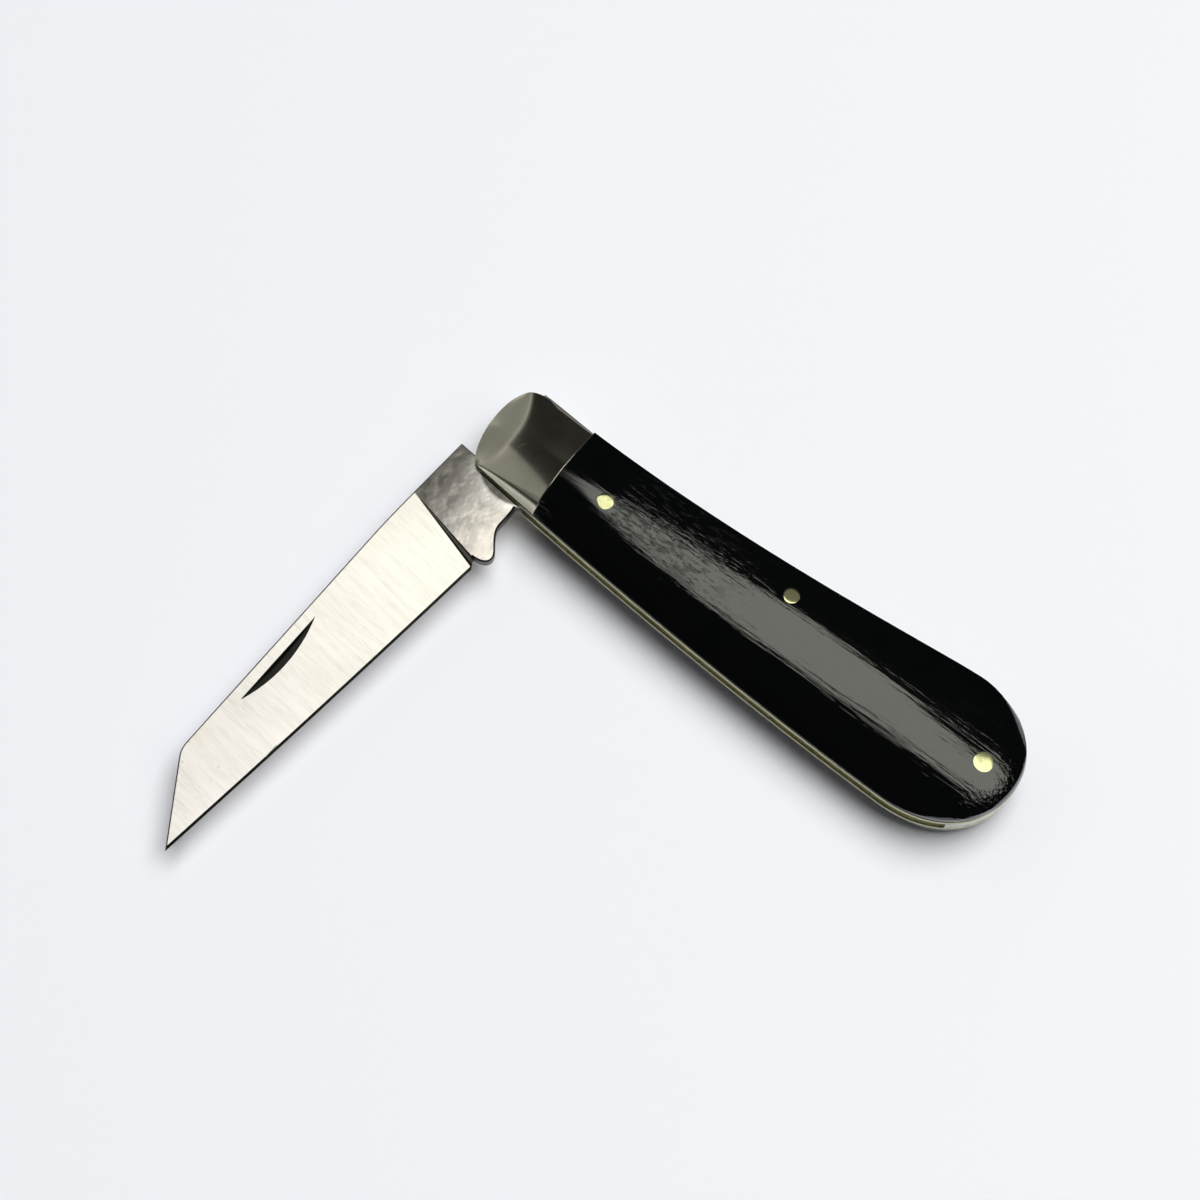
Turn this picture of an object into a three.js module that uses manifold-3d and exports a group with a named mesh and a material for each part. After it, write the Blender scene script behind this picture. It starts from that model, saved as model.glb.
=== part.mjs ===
// Folding pocket knife, half open: one straight-edged blade held by a backspring, in a handle of two
// liners with a metal bolster and a dark wood cover on each side, riveted together with brass pins.
// Millimetres. The origin is on the pivot axis at the knife's underside. +X runs along the handle to its
// butt, +Y to the spine that the backspring closes, and +Z up out of the mark side.

import * as THREE from 'three';
import { mergeVertices } from 'three/addons/utils/BufferGeometryUtils.js';
import Module from 'manifold-3d';

const wasm = await Module();
wasm.setup();

// Layers of the handle, from the pile side up
const COVER_THICKNESS = 3.4;
const LINER_THICKNESS = 0.9;
const SLOT_WIDTH = 2.2;

// Handle outline, with heights counted from the pivot axis
const HANDLE_LENGTH = 83.15;
const NOSE_REACH = 6.8;
const NOSE_CREST = 2.2;
const NECK_SPINE = 8.3;
const SPINE_DIP = 1.77;
const BUTT_SPINE = 11.65;
const BUTT_CREST = 2.4;
const NECK_CHANNEL = 4.55;
const CHANNEL_FALL = 3.57;
const BUTT_CHANNEL = 8.5;
const BUTT_ROUND_SPINE = 11;
const BUTT_ROUND_CHANNEL = 13.2;
const BUTT_FULLNESS = 0.6;

// Pulls of the outline's curves: shares of the butt's distance, and distances from the nose and the neck
const CHANNEL_PULLS = { front: 0.38, rear: 0.73 };
const SPINE_PULLS = { front: 0.366, rear: 0.782 };
const CHANNEL_START = 2.5;
const SPINE_START = 4.5;
const NOSE_TOP_PULL = { back: 1.5, rise: -0.12 };
const NOSE_CREST_PULLS = { over: 4.4, under: 2.8 };
const CORNER_TOP = { back: 1.6, rise: 0.45 };
const CORNER_TOP_PULL = { back: 0.7, rise: 1.65 };
const CORNER_PULL = { back: 1.8, rise: 0.2 };

// Crown of the covers and bolsters
const BOLSTER_REACH = 5.35;
const EDGE_INSET = 0.2;
const CHANNEL_EDGE_HEIGHT = 0.15;
const CHANNEL_BEVEL_WIDTH = 1.85;
const CHANNEL_BEVEL_HEIGHT = 1.85;
const SPINE_EDGE_HEIGHT = 1.15;
const SPINE_EDGE_ROUND = 0.35;
const CROWN_FLAT_HALF_WIDTH = 2;
const CROWN_POWER = 1.8;

// Rounded end of each cover at the butt
const BUTT_EDGE_HEIGHT = 1.1;
const BUTT_EDGE_LEAN = 0.35;
const BUTT_SLOPE_RUN = 7.5;
const BUTT_CUT_MARGIN = 0.02;

// Rounded front of each bolster, turned about a centre behind the pivot
const NOSE_RADIUS = 12.9;
const NOSE_CENTRE_HEIGHT = 1.9;
const NOSE_EDGE_HEIGHT = 0.35;
const NOSE_SLOPE_RUN = 4.8;
const NOSE_PULL_RUN = 1.7;
const NOSE_PULL_RISE = 1.8;

// Pins
const PIVOT_PIN_RADIUS = 1.25;
const COVER_PIN = { x: 12.4, y: 1.0, radius: 1.15 };
const CENTRE_PIN = { x: 39.0, y: 5.4, radius: 1.15 };
const BUTT_PIN = { setback: 5.15, y: 2.4, radius: 1.35 };
const PIN_GAP = 0.05;

// Backspring, with its depths counted from the spine edge
const SPRING_FRONT_REACH = 3.65;
const SPRING_FRONT_DEPTH = 2.4;
const SPRING_KICK_DEPTH = 2.85;
const SPRING_MIDWAY = { along: 0.6, depth: 4.18 };
const SPRING_CENTRE_DEPTH = 5.8;
const SPRING_REAR_DEPTH = 8;
const SPRING_LIFT = 0.65;
const SPRING_END_RISE = 2.4;
const WELL_SETBACK = 6.35;
const WELL_FLOOR = [{ back: 7, y: 0.5 }, { back: 1.5, y: -0.95 }];
const WELL_REAR = [{ back: 0, y: -2.1 }, { back: -0.6, y: -3.9 }];

// Blade, in its own frame: x to the tip, y to the edge, from the pivot axis
const BLADE_REST_ANGLE = -95.5;
const CLOSED_ANGLE = -3.5;
const BLADE_SIDE_GAP = 0.05;
const BOSS_RADIUS = 6.3;
const BOSS_LIFT = 0.08;
const TANG_GAP = 0.05;
const TANG_SPINE_LENGTH = 18;
const TANG_SPINE_EASE = { before: 2.5, after: 4 };
const TIP_CLEARANCE = 1.3;
const TIP_HEIGHT = 1.7;
const DROP_LENGTH = 10.75;
const DROP_SPINE_HEIGHT = 6.17;
const SPINE_ROUND = 1.1;
const HEEL = { x: 15.3, y: 4.6 };
const EDGE_BELLY = 0.36;
const NOTCH = { x: 14.05, y: 3.8 };
const KICK_X = 12.6;
const KICK_HOLLOW = { x: 8.4, y: 3.38 };
const HOLLOW_END_ANGLE = 30;
const NOTCH_PULL = { x: 13.9, part: 0.64 };
const KICK_PULLS = { front: 11.3, rear: 13.4 };
const HOLLOW_PULLS = [{ x: 10.4, rise: 0.07 }, { x: 7.2, rise: -0.04 }, { x: 6.4, rise: -0.03 }];
const PLUNGE_X = 13.64;
const PLUNGE_LEAN = 0.113;
const PLUNGE_RUN = 1.7;
const SPINE_TAPER = 0.0055;
const EDGE_HALF_THICKNESS = 0.28;
const EDGE_BEVEL_WIDTH = 0.5;

// Nail nick, along and below the blade's spine line
const NICK_START = 33.7;
const NICK_LENGTH = 14.5;
const NICK_BELOW_SPINE = 1.6;
const NICK_WIDTH = 1.32;
const NICK_DEPTH = 0.5;
const NICK_CUTTER_RISE = 0.3;

// Fineness of the curved stretches
const LONG_STEPS = 14;
const ROUND_STEPS = 9;
const SHORT_STEPS = 5;
const CORNER_STEPS = 2;
const LEAST_STEP = 0.1;
const PIN_SIDES = 32;
const NOSE_SIDES = 80;

const KNIFE_THICKNESS = 2 * (COVER_THICKNESS + LINER_THICKNESS) + SLOT_WIDTH;
const SLOT_BASE = COVER_THICKNESS + LINER_THICKNESS;
const SLOT_TOP = SLOT_BASE + SLOT_WIDTH;
const MARK_COVER_BASE = SLOT_TOP + LINER_THICKNESS;
const MID_PLANE = KNIFE_THICKNESS / 2;
const BUTT_X = HANDLE_LENGTH - NOSE_REACH;
const BUTT_PIN_X = BUTT_X - BUTT_PIN.setback;
const WELL_END = BUTT_X - WELL_SETBACK;
// Cutting bodies run this far past what they cut
const BEYOND = 2;

const at = (x, y) => new THREE.Vector2(x, y);
const bend = (start, pull, laterPull, end) => new THREE.CubicBezierCurve(start, pull, laterPull, end);
const share = (from, to, part) => from + (to - from) * part;

// Long edge of the handle on the side where the blade comes out
const channelEdge = bend(
  at(CHANNEL_START - NOSE_REACH, -NECK_CHANNEL),
  at(BUTT_X * CHANNEL_PULLS.front, -NECK_CHANNEL - CHANNEL_FALL),
  at(BUTT_X * CHANNEL_PULLS.rear, -BUTT_CHANNEL),
  at(BUTT_X - BUTT_ROUND_CHANNEL, -BUTT_CHANNEL),
);

const buttUnder = bend(
  channelEdge.v3,
  at(BUTT_X - BUTT_ROUND_CHANNEL * (1 - BUTT_FULLNESS), -BUTT_CHANNEL),
  at(BUTT_X, share(BUTT_CREST, -BUTT_CHANNEL, BUTT_FULLNESS)),
  at(BUTT_X, BUTT_CREST),
);

const buttOver = bend(
  buttUnder.v3,
  at(BUTT_X, share(BUTT_CREST, BUTT_SPINE, BUTT_FULLNESS)),
  at(BUTT_X - BUTT_ROUND_SPINE * (1 - BUTT_FULLNESS), BUTT_SPINE),
  at(BUTT_X - BUTT_ROUND_SPINE, BUTT_SPINE),
);

// Long edge of the handle on the backspring's side, from the butt forwards
const spineEdge = bend(
  buttOver.v3,
  at(BUTT_X * SPINE_PULLS.rear, BUTT_SPINE),
  at(BUTT_X * SPINE_PULLS.front, NECK_SPINE - SPINE_DIP),
  at(SPINE_START - NOSE_REACH, NECK_SPINE),
);

const noseOver = bend(
  spineEdge.v3,
  at(NOSE_TOP_PULL.back - NOSE_REACH, NECK_SPINE + NOSE_TOP_PULL.rise),
  at(-NOSE_REACH, NOSE_CREST + NOSE_CREST_PULLS.over),
  at(-NOSE_REACH, NOSE_CREST),
);

const noseUnder = bend(
  noseOver.v3,
  at(-NOSE_REACH, NOSE_CREST - NOSE_CREST_PULLS.under),
  at(CORNER_TOP_PULL.back - NOSE_REACH, CORNER_TOP_PULL.rise - NECK_CHANNEL),
  at(CORNER_TOP.back - NOSE_REACH, CORNER_TOP.rise - NECK_CHANNEL),
);

const noseCorner = bend(
  noseUnder.v3,
  at(CORNER_PULL.back - NOSE_REACH, CORNER_PULL.rise - NECK_CHANNEL),
  channelEdge.v0,
  channelEdge.v0,
);

// Points of a closed line of curves, each curve without its last point
function closedLine(curves) {
  return curves.flatMap(([curve, steps]) => curve.getPoints(steps).slice(0, -1));
}

const handleOutline = closedLine([
  [channelEdge, LONG_STEPS],
  [buttUnder, ROUND_STEPS],
  [buttOver, ROUND_STEPS],
  [spineEdge, LONG_STEPS],
  [noseOver, ROUND_STEPS],
  [noseUnder, ROUND_STEPS],
  [noseCorner, CORNER_STEPS],
]);

// Height at x of an edge's straight facets, level beyond the edge's ends
function edgeHeight(curve, x) {
  const points = curve.getPoints(LONG_STEPS).sort((a, b) => a.x - b.x);
  const next = points.findIndex((p) => p.x > x);
  if (next === 0) return points[0].y;
  if (next < 0) return points.at(-1).y;
  const [before, after] = [points[next - 1], points[next]];
  return share(before.y, after.y, (x - before.x) / (after.x - before.x));
}

const spineHeight = (x) => edgeHeight(spineEdge, x);
const channelHeight = (x) => edgeHeight(channelEdge, x);

// A closed solid made from a geometry, for joining and cutting
function solidOf(geometry) {
  geometry.deleteAttribute('normal');
  geometry.deleteAttribute('uv');
  const merged = mergeVertices(geometry, 1e-4);
  return new wasm.Manifold(new wasm.Mesh({
    numProp: 3,
    vertProperties: new Float32Array(merged.attributes.position.array),
    triVerts: new Uint32Array(merged.index.array),
  }));
}

function geometryOf(solid) {
  const mesh = solid.getMesh();
  const geometry = new THREE.BufferGeometry();
  geometry.setAttribute('position', new THREE.BufferAttribute(new Float32Array(mesh.vertProperties), 3));
  geometry.setIndex(new THREE.BufferAttribute(new Uint32Array(mesh.triVerts), 1));
  geometry.computeVertexNormals();
  return geometry;
}

// An upright plate with the given outline, from one height to another
function plate(outline, base, top) {
  const settings = { depth: top - base, bevelEnabled: false };
  return solidOf(new THREE.ExtrudeGeometry(new THREE.Shape(outline), settings).translate(0, 0, base));
}

function roundBar(x, y, radius, base, top, sides = PIN_SIDES) {
  const geometry = new THREE.CylinderGeometry(radius, radius, top - base, sides);
  return solidOf(geometry.rotateX(Math.PI / 2).translate(x, y, (base + top) / 2));
}

// A stretch of the handle's length, as a block that reaches past it on every other side
function stretch(start, end) {
  const geometry = new THREE.BoxGeometry(end - start, 4 * BUTT_SPINE, 2 * KNIFE_THICKNESS);
  return solidOf(geometry.translate((start + end) / 2, 0, MID_PLANE));
}

// A solid through rings of corners that run anticlockwise when seen from the last ring
function loft(rings) {
  const count = rings[0].length;
  const last = (rings.length - 1) * count;
  const index = [];
  for (let start = 0; start < last; start += count) {
    for (let side = 0; side < count; side += 1) {
      const a = start + side;
      const b = start + ((side + 1) % count);
      index.push(a, b, b + count, a, b + count, a + count);
    }
  }
  for (let side = 1; side < count - 1; side += 1) {
    index.push(0, side + 1, side, last, last + side, last + side + 1);
  }
  const geometry = new THREE.BufferGeometry();
  geometry.setFromPoints(rings.flat());
  geometry.setIndex(index);
  return solidOf(geometry);
}

// Height of the crown above the liner, from the flat's edge (part 0) to the side (part 1)
function crownHeight(part, sideHeight) {
  return share(COVER_THICKNESS, sideHeight, part ** CROWN_POWER);
}

// One side of the handle's cross-section at x, from the channel edge over the crown to the spine edge
function crownSection(x) {
  const channel = channelHeight(x);
  const spine = spineHeight(x);
  const middle = (channel + spine) / 2;
  const crease = channel + CHANNEL_BEVEL_WIDTH;
  const spineSide = spine - SPINE_EDGE_ROUND;
  const steps = Array.from({ length: SHORT_STEPS + 1 }, (_, step) => step / SHORT_STEPS);
  const channelFlank = steps.map((part) => at(
    share(middle - CROWN_FLAT_HALF_WIDTH, crease, part),
    crownHeight(part, CHANNEL_BEVEL_HEIGHT),
  ));
  const spineFlank = steps.map((part) => at(
    share(middle + CROWN_FLAT_HALF_WIDTH, spineSide, part),
    crownHeight(part, SPINE_EDGE_HEIGHT + SPINE_EDGE_ROUND),
  ));
  return [
    at(channel + EDGE_INSET, CHANNEL_EDGE_HEIGHT),
    ...channelFlank.reverse(),
    ...spineFlank,
    at(spine + SPINE_EDGE_ROUND, SPINE_EDGE_HEIGHT - SPINE_EDGE_ROUND),
  ];
}

// The handle as one crowned bar, alike above and below its middle plane, running past the outline
function makeCrownedBar() {
  const start = -NOSE_REACH - BEYOND;
  const end = BUTT_X + BEYOND;
  const rings = [];
  for (let station = 0; station <= LONG_STEPS; station += 1) {
    const x = share(start, end, station / LONG_STEPS);
    const section = crownSection(x);
    const over = section.map((p) => new THREE.Vector3(x, p.x, MARK_COVER_BASE + p.y));
    const under = section.map((p) => new THREE.Vector3(x, p.x, COVER_THICKNESS - p.y));
    rings.push([...under, ...over.reverse()]);
  }
  return loft(rings);
}

// The round slope at the front of both bolsters, as a turned body
function makeNoseBody() {
  const slope = new THREE.QuadraticBezierCurve(
    at(NOSE_RADIUS, MARK_COVER_BASE + NOSE_EDGE_HEIGHT),
    at(NOSE_RADIUS - NOSE_PULL_RUN, MARK_COVER_BASE + NOSE_EDGE_HEIGHT + NOSE_PULL_RISE),
    at(NOSE_RADIUS - NOSE_SLOPE_RUN, KNIFE_THICKNESS),
  ).getPoints(SHORT_STEPS);
  const lowerSlope = slope.map((p) => at(p.x, KNIFE_THICKNESS - p.y)).reverse();
  const crest = slope.at(-1).x;
  const above = KNIFE_THICKNESS + BEYOND;
  const profile = [
    at(0, -BEYOND), at(crest, -BEYOND), ...lowerSlope, ...slope, at(crest, above), at(0, above),
  ];
  const geometry = new THREE.LatheGeometry(profile, NOSE_SIDES).rotateX(Math.PI / 2);
  return solidOf(geometry.translate(NOSE_RADIUS - NOSE_REACH, NOSE_CENTRE_HEIGHT, 0));
}

// The domed end at the butt, alike on both sides: the round of the butt, squeezed forwards as it rises
function makeButtBody() {
  const start = BUTT_X - BUTT_ROUND_CHANNEL;
  const round = handleOutline.filter((p) => p.x > start);
  const levels = [{ inset: BUTT_EDGE_LEAN - BUTT_CUT_MARGIN, height: BUTT_EDGE_HEIGHT }];
  for (let step = 1; step <= SHORT_STEPS; step += 1) {
    const part = step / SHORT_STEPS;
    const height = share(COVER_THICKNESS + BEYOND * part ** 4, BUTT_EDGE_HEIGHT, (1 - part) ** 2);
    levels.push({ inset: BUTT_EDGE_LEAN + BUTT_SLOPE_RUN * part, height });
  }
  const upper = [{ inset: -BUTT_CUT_MARGIN, height: 0 }, ...levels];
  const ring = (z, inset) => {
    const squeeze = 1 - inset / (BUTT_X - start);
    const side = (p) => p.y + Math.sign(p.y - BUTT_CREST) * BUTT_CUT_MARGIN;
    const points = round.map((p) => new THREE.Vector3(start + (p.x - start) * squeeze, side(p), z));
    const front = -NOSE_REACH - 2 * BEYOND;
    const [low, high] = [points[0].y, points.at(-1).y];
    return [new THREE.Vector3(front, low, z), ...points, new THREE.Vector3(front, high, z)];
  };
  return loft([
    ...upper.toReversed().map((level) => ring(COVER_THICKNESS - level.height, level.inset)),
    ...upper.map((level) => ring(MARK_COVER_BASE + level.height, level.inset)),
  ]);
}

const crownedBar = makeCrownedBar().intersect(makeButtBody());

// Each side of the handle, as the heights between which its bolster and cover are cut from the crowned bar
const PILE_SIDE = { base: -BEYOND, top: COVER_THICKNESS };
const MARK_SIDE = { base: MARK_COVER_BASE, top: KNIFE_THICKNESS + BEYOND };

const layer = (base, top) => plate(handleOutline, base, top);
const hole = (x, y, radius) => roundBar(x, y, radius + PIN_GAP, -BEYOND, KNIFE_THICKNESS + BEYOND);
const pivotHole = hole(0, 0, PIVOT_PIN_RADIUS);
const coverPinHole = hole(COVER_PIN.x, COVER_PIN.y, COVER_PIN.radius);
const centreHole = hole(CENTRE_PIN.x, CENTRE_PIN.y, CENTRE_PIN.radius);
const buttHole = hole(BUTT_PIN_X, BUTT_PIN.y, BUTT_PIN.radius);

function makeLiner(base) {
  return layer(base, base + LINER_THICKNESS)
    .subtract(pivotHole).subtract(coverPinHole).subtract(centreHole).subtract(buttHole);
}

function makeBolster(side) {
  return layer(side.base, side.top)
    .intersect(crownedBar)
    .intersect(makeNoseBody())
    .intersect(stretch(-NOSE_REACH - BEYOND, BOLSTER_REACH))
    .subtract(pivotHole);
}

function makeCover(side) {
  return layer(side.base, side.top)
    .intersect(crownedBar)
    .intersect(stretch(BOLSTER_REACH, BUTT_X + BEYOND))
    .subtract(coverPinHole).subtract(centreHole).subtract(buttHole);
}

// A rivet ground flush with the crown at both ends
function makePin(x, y, radius, base = PILE_SIDE.base, top = MARK_SIDE.top) {
  return roundBar(x, y, radius, base, top).intersect(crownedBar);
}

const makeCoverPin = (base, top) => makePin(COVER_PIN.x, COVER_PIN.y, COVER_PIN.radius, base, top);

// How far the tang's round lifts the spring at x: a bar bent from the centre pin forwards
function springLift(x) {
  const part = Math.min(Math.max((CENTRE_PIN.x - x) / CENTRE_PIN.x, 0), 1);
  const pastPivot = Math.max(-x / CENTRE_PIN.x, 0);
  return SPRING_LIFT * ((3 * part ** 2 - part ** 3) / 2 + 1.5 * pastPivot);
}

const tangSpine = spineHeight(BOLSTER_REACH);
const openFlat = tangSpine - SPRING_FRONT_DEPTH;
const camRadius = openFlat + SPRING_LIFT;
const shoulderX = SPRING_FRONT_REACH + TANG_GAP;

// Where the spring's inner side lies at x when nothing bends it
const springInside = (x, depth) => at(x, spineHeight(x) - depth);

// The point where the butt's outline rises through a height
function buttPointAt(height) {
  const points = buttUnder.getPoints(ROUND_STEPS);
  const next = points.findIndex((p) => p.y > height);
  const [before, after] = [points[next - 1], points[next]];
  return before.clone().lerp(after, (height - before.y) / (after.y - before.y));
}

// Outline of the backspring, bent as the half-open blade holds it
function springOutline() {
  const endHeight = SPRING_END_RISE - BUTT_CHANNEL;
  const aroundButt = [
    buttPointAt(endHeight),
    ...buttUnder.getPoints(ROUND_STEPS).filter((p) => p.y > endHeight + LEAST_STEP),
    ...buttOver.getPoints(ROUND_STEPS).slice(1, -1),
  ];
  const rearBack = spineEdge.getPoints(LONG_STEPS).filter((p) => p.x > CENTRE_PIN.x + CENTRE_PIN.radius);
  const frontBack = Array.from({ length: LONG_STEPS + 1 }, (_, step) => {
    const x = share(CENTRE_PIN.x, -SPRING_FRONT_REACH, step / LONG_STEPS);
    return at(x, spineHeight(x) + springLift(x));
  });
  const inside = new THREE.SplineCurve([
    at(-SPRING_FRONT_REACH, openFlat + TANG_GAP),
    at(shoulderX, openFlat + TANG_GAP),
    springInside(KICK_X, SPRING_KICK_DEPTH),
    springInside(CENTRE_PIN.x * SPRING_MIDWAY.along, SPRING_MIDWAY.depth),
    springInside(CENTRE_PIN.x, SPRING_CENTRE_DEPTH),
    springInside(share(CENTRE_PIN.x, WELL_END, 0.5), SPRING_REAR_DEPTH),
    ...WELL_FLOOR.map((p) => at(WELL_END - p.back, p.y)),
  ]).getPoints(2 * LONG_STEPS).map((p) => at(p.x, p.y + springLift(p.x)));
  return [
    ...aroundButt,
    ...rearBack,
    ...frontBack,
    ...inside,
    ...WELL_REAR.map((p) => at(WELL_END - p.back, p.y)),
  ];
}

function makeBackspring() {
  return plate(springOutline(), SLOT_BASE, SLOT_TOP).subtract(centreHole).subtract(buttHole);
}

const tip = at(WELL_END - TIP_CLEARANCE, TIP_HEIGHT);
const dropCorner = at(tip.x - DROP_LENGTH, -DROP_SPINE_HEIGHT);
const spineStart = at(TANG_SPINE_LENGTH, -tangSpine);
const tangHalf = SLOT_WIDTH / 2 - BLADE_SIDE_GAP - BOSS_LIFT;

// Height of the sharpened edge at x
function edgeLine(x) {
  const part = (x - HEEL.x) / (tip.x - HEEL.x);
  return share(HEEL.y, tip.y, part) + 2 * part * (1 - part) * EDGE_BELLY;
}

function spineLine(x) {
  return share(spineStart.y, dropCorner.y, (x - spineStart.x) / (dropCorner.x - spineStart.x));
}

// Half thickness of the flat ground blade at a point of its face
function groundHalf(x, y) {
  const spineHalf = tangHalf - SPINE_TAPER * (x - HEEL.x);
  const bevelStart = edgeLine(x) - EDGE_BEVEL_WIDTH;
  return share(spineHalf, EDGE_HALF_THICKNESS, (y - spineLine(x)) / (bevelStart - spineLine(x)));
}

const onCircle = (radius, degrees) => {
  const angle = THREE.MathUtils.degToRad(degrees);
  return at(radius * Math.cos(angle), radius * Math.sin(angle));
};

const arc = (radius, from, to, steps) =>
  Array.from({ length: steps + 1 }, (_, step) => onCircle(radius, share(from, to, step / steps)));

// Outline of tang and blade; the edge side runs past the sharpened edge, which the grind cuts
function bladeOutline() {
  const closedTurn = THREE.MathUtils.degToRad(-CLOSED_ANGLE);
  const kickRest = springInside(KICK_X, SPRING_KICK_DEPTH).y - TANG_GAP;
  const kickY = (kickRest + KICK_X * Math.sin(closedTurn)) / Math.cos(closedTurn);
  const flatTurn = THREE.MathUtils.radToDeg(Math.acos(openFlat / camRadius));
  const closedNormal = 90 - CLOSED_ANGLE;
  const hollowEnd = onCircle(camRadius, HOLLOW_END_ANGLE);
  const alongDrop = tip.clone().sub(dropCorner).normalize();
  const heel = at(HEEL.x, HEEL.y);
  const notch = at(NOTCH.x, NOTCH.y);
  const kick = at(KICK_X, kickY);
  const hollow = at(KICK_HOLLOW.x, KICK_HOLLOW.y);
  const notchPull = at(NOTCH_PULL.x, share(notch.y, kick.y, NOTCH_PULL.part));
  const hollowPulls = HOLLOW_PULLS.map((pull) => at(pull.x, hollow.y + pull.rise));
  const easedSpine = new THREE.QuadraticBezierCurve(
    at(spineStart.x - TANG_SPINE_EASE.before, -tangSpine),
    spineStart,
    at(spineStart.x + TANG_SPINE_EASE.after, spineLine(spineStart.x + TANG_SPINE_EASE.after)),
  );
  const roundedDrop = new THREE.QuadraticBezierCurve(
    at(dropCorner.x - SPINE_ROUND, spineLine(dropCorner.x - SPINE_ROUND)),
    dropCorner,
    dropCorner.clone().addScaledVector(alongDrop, SPINE_ROUND),
  );
  return [
    at(shoulderX, -tangSpine),
    ...easedSpine.getPoints(SHORT_STEPS),
    ...roundedDrop.getPoints(SHORT_STEPS),
    tip.clone().addScaledVector(alongDrop, BEYOND / 2),
    at((tip.x + heel.x) / 2, edgeLine((tip.x + heel.x) / 2) + BEYOND / 2),
    heel,
    ...closedLine([
      [bend(notch, notchPull, at(KICK_PULLS.rear, kick.y), kick), SHORT_STEPS],
      [bend(kick, at(KICK_PULLS.front, kick.y), hollowPulls[0], hollow), ROUND_STEPS],
      [bend(hollow, hollowPulls[1], hollowPulls[2], hollowEnd), SHORT_STEPS],
    ]),
    ...arc(camRadius, HOLLOW_END_ANGLE, closedNormal - flatTurn, SHORT_STEPS),
    ...arc(camRadius, closedNormal + flatTurn, 270 - flatTurn, 2 * LONG_STEPS),
    at(shoulderX, -openFlat),
  ];
}

// The ground part of the blade, from inside the tang to past the tip
function makeGrind() {
  const start = HEEL.x - 2 * BEYOND;
  const end = tip.x + BEYOND;
  const spineSide = -tangSpine - BEYOND;
  const rings = [];
  for (let station = 0; station <= LONG_STEPS; station += 1) {
    const x = share(start, end, station / LONG_STEPS);
    const bevelStart = edgeLine(x) - EDGE_BEVEL_WIDTH;
    rings.push([
      new THREE.Vector3(x, spineSide, -groundHalf(x, spineSide)),
      new THREE.Vector3(x, bevelStart, -EDGE_HALF_THICKNESS),
      new THREE.Vector3(x, edgeLine(x), 0),
      new THREE.Vector3(x, bevelStart, EDGE_HALF_THICKNESS),
      new THREE.Vector3(x, spineSide, groundHalf(x, spineSide)),
    ]);
  }
  return loft(rings);
}

// The full thickness of the tang, which ends in a sloping step on each side
function makeTangBlock() {
  const rear = -camRadius - BEYOND;
  const low = -tangSpine - BEYOND;
  const high = camRadius + BEYOND;
  const step = (y, z) => PLUNGE_X + PLUNGE_LEAN * y + PLUNGE_RUN * (tangHalf - Math.abs(z));
  const levels = [-tangHalf, -EDGE_HALF_THICKNESS, EDGE_HALF_THICKNESS, tangHalf];
  return loft(levels.map((z) => [
    new THREE.Vector3(rear, low, z),
    new THREE.Vector3(step(low, z), low, z),
    new THREE.Vector3(step(high, z), high, z),
    new THREE.Vector3(rear, high, z),
  ]));
}

// The crescent that a wheel cuts for the thumbnail: a wall on the spine side and a slope to the edge side
function makeNailNick() {
  const rings = [];
  const lean = spineLine(1) - spineLine(0);
  const slope = NICK_WIDTH / NICK_DEPTH;
  for (let station = 0; station <= LONG_STEPS; station += 1) {
    const part = station / LONG_STEPS;
    const x = NICK_START + NICK_LENGTH * part;
    const y = spineLine(x) + NICK_BELOW_SPINE;
    const face = groundHalf(x, y);
    const depth = NICK_DEPTH * 4 * part * (1 - part);
    const reach = slope * (depth + NICK_CUTTER_RISE);
    rings.push([
      new THREE.Vector3(x, y, face + NICK_CUTTER_RISE),
      new THREE.Vector3(x, y, face - depth),
      new THREE.Vector3(x - reach * lean, y + reach, face + NICK_CUTTER_RISE),
    ]);
  }
  return loft(rings);
}

function makeBlade() {
  const outline = bladeOutline();
  const bossHalf = tangHalf + BOSS_LIFT;
  const boss = plate(outline, -bossHalf, bossHalf).intersect(
    roundBar(0, 0, BOSS_RADIUS, -bossHalf - BEYOND, bossHalf + BEYOND, 2 * PIN_SIDES),
  );
  return plate(outline, -tangHalf, tangHalf)
    .intersect(makeGrind().add(makeTangBlock()))
    .add(boss)
    .subtract(roundBar(0, 0, PIVOT_PIN_RADIUS + TANG_GAP, -BEYOND, BEYOND))
    .subtract(makeNailNick());
}

function finish(color, metalness, roughness) {
  return new THREE.MeshStandardMaterial({ color, metalness, roughness });
}

const blackWood = finish(0x0b0d0d, 0, 0.15);
const bolsterMetal = finish(0x9c9a8c, 1, 0.18);
const bladeSteel = finish(0xd9d6cc, 1, 0.35);
const springSteel = finish(0x8f8f88, 1, 0.3);
const linerBrass = finish(0xb4ad80, 1, 0.35);
const pinBrass = finish(0xd8cc8c, 1, 0.25);

function piece(name, solid, material) {
  const mesh = new THREE.Mesh(geometryOf(solid), material);
  mesh.name = name;
  return mesh;
}

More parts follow.
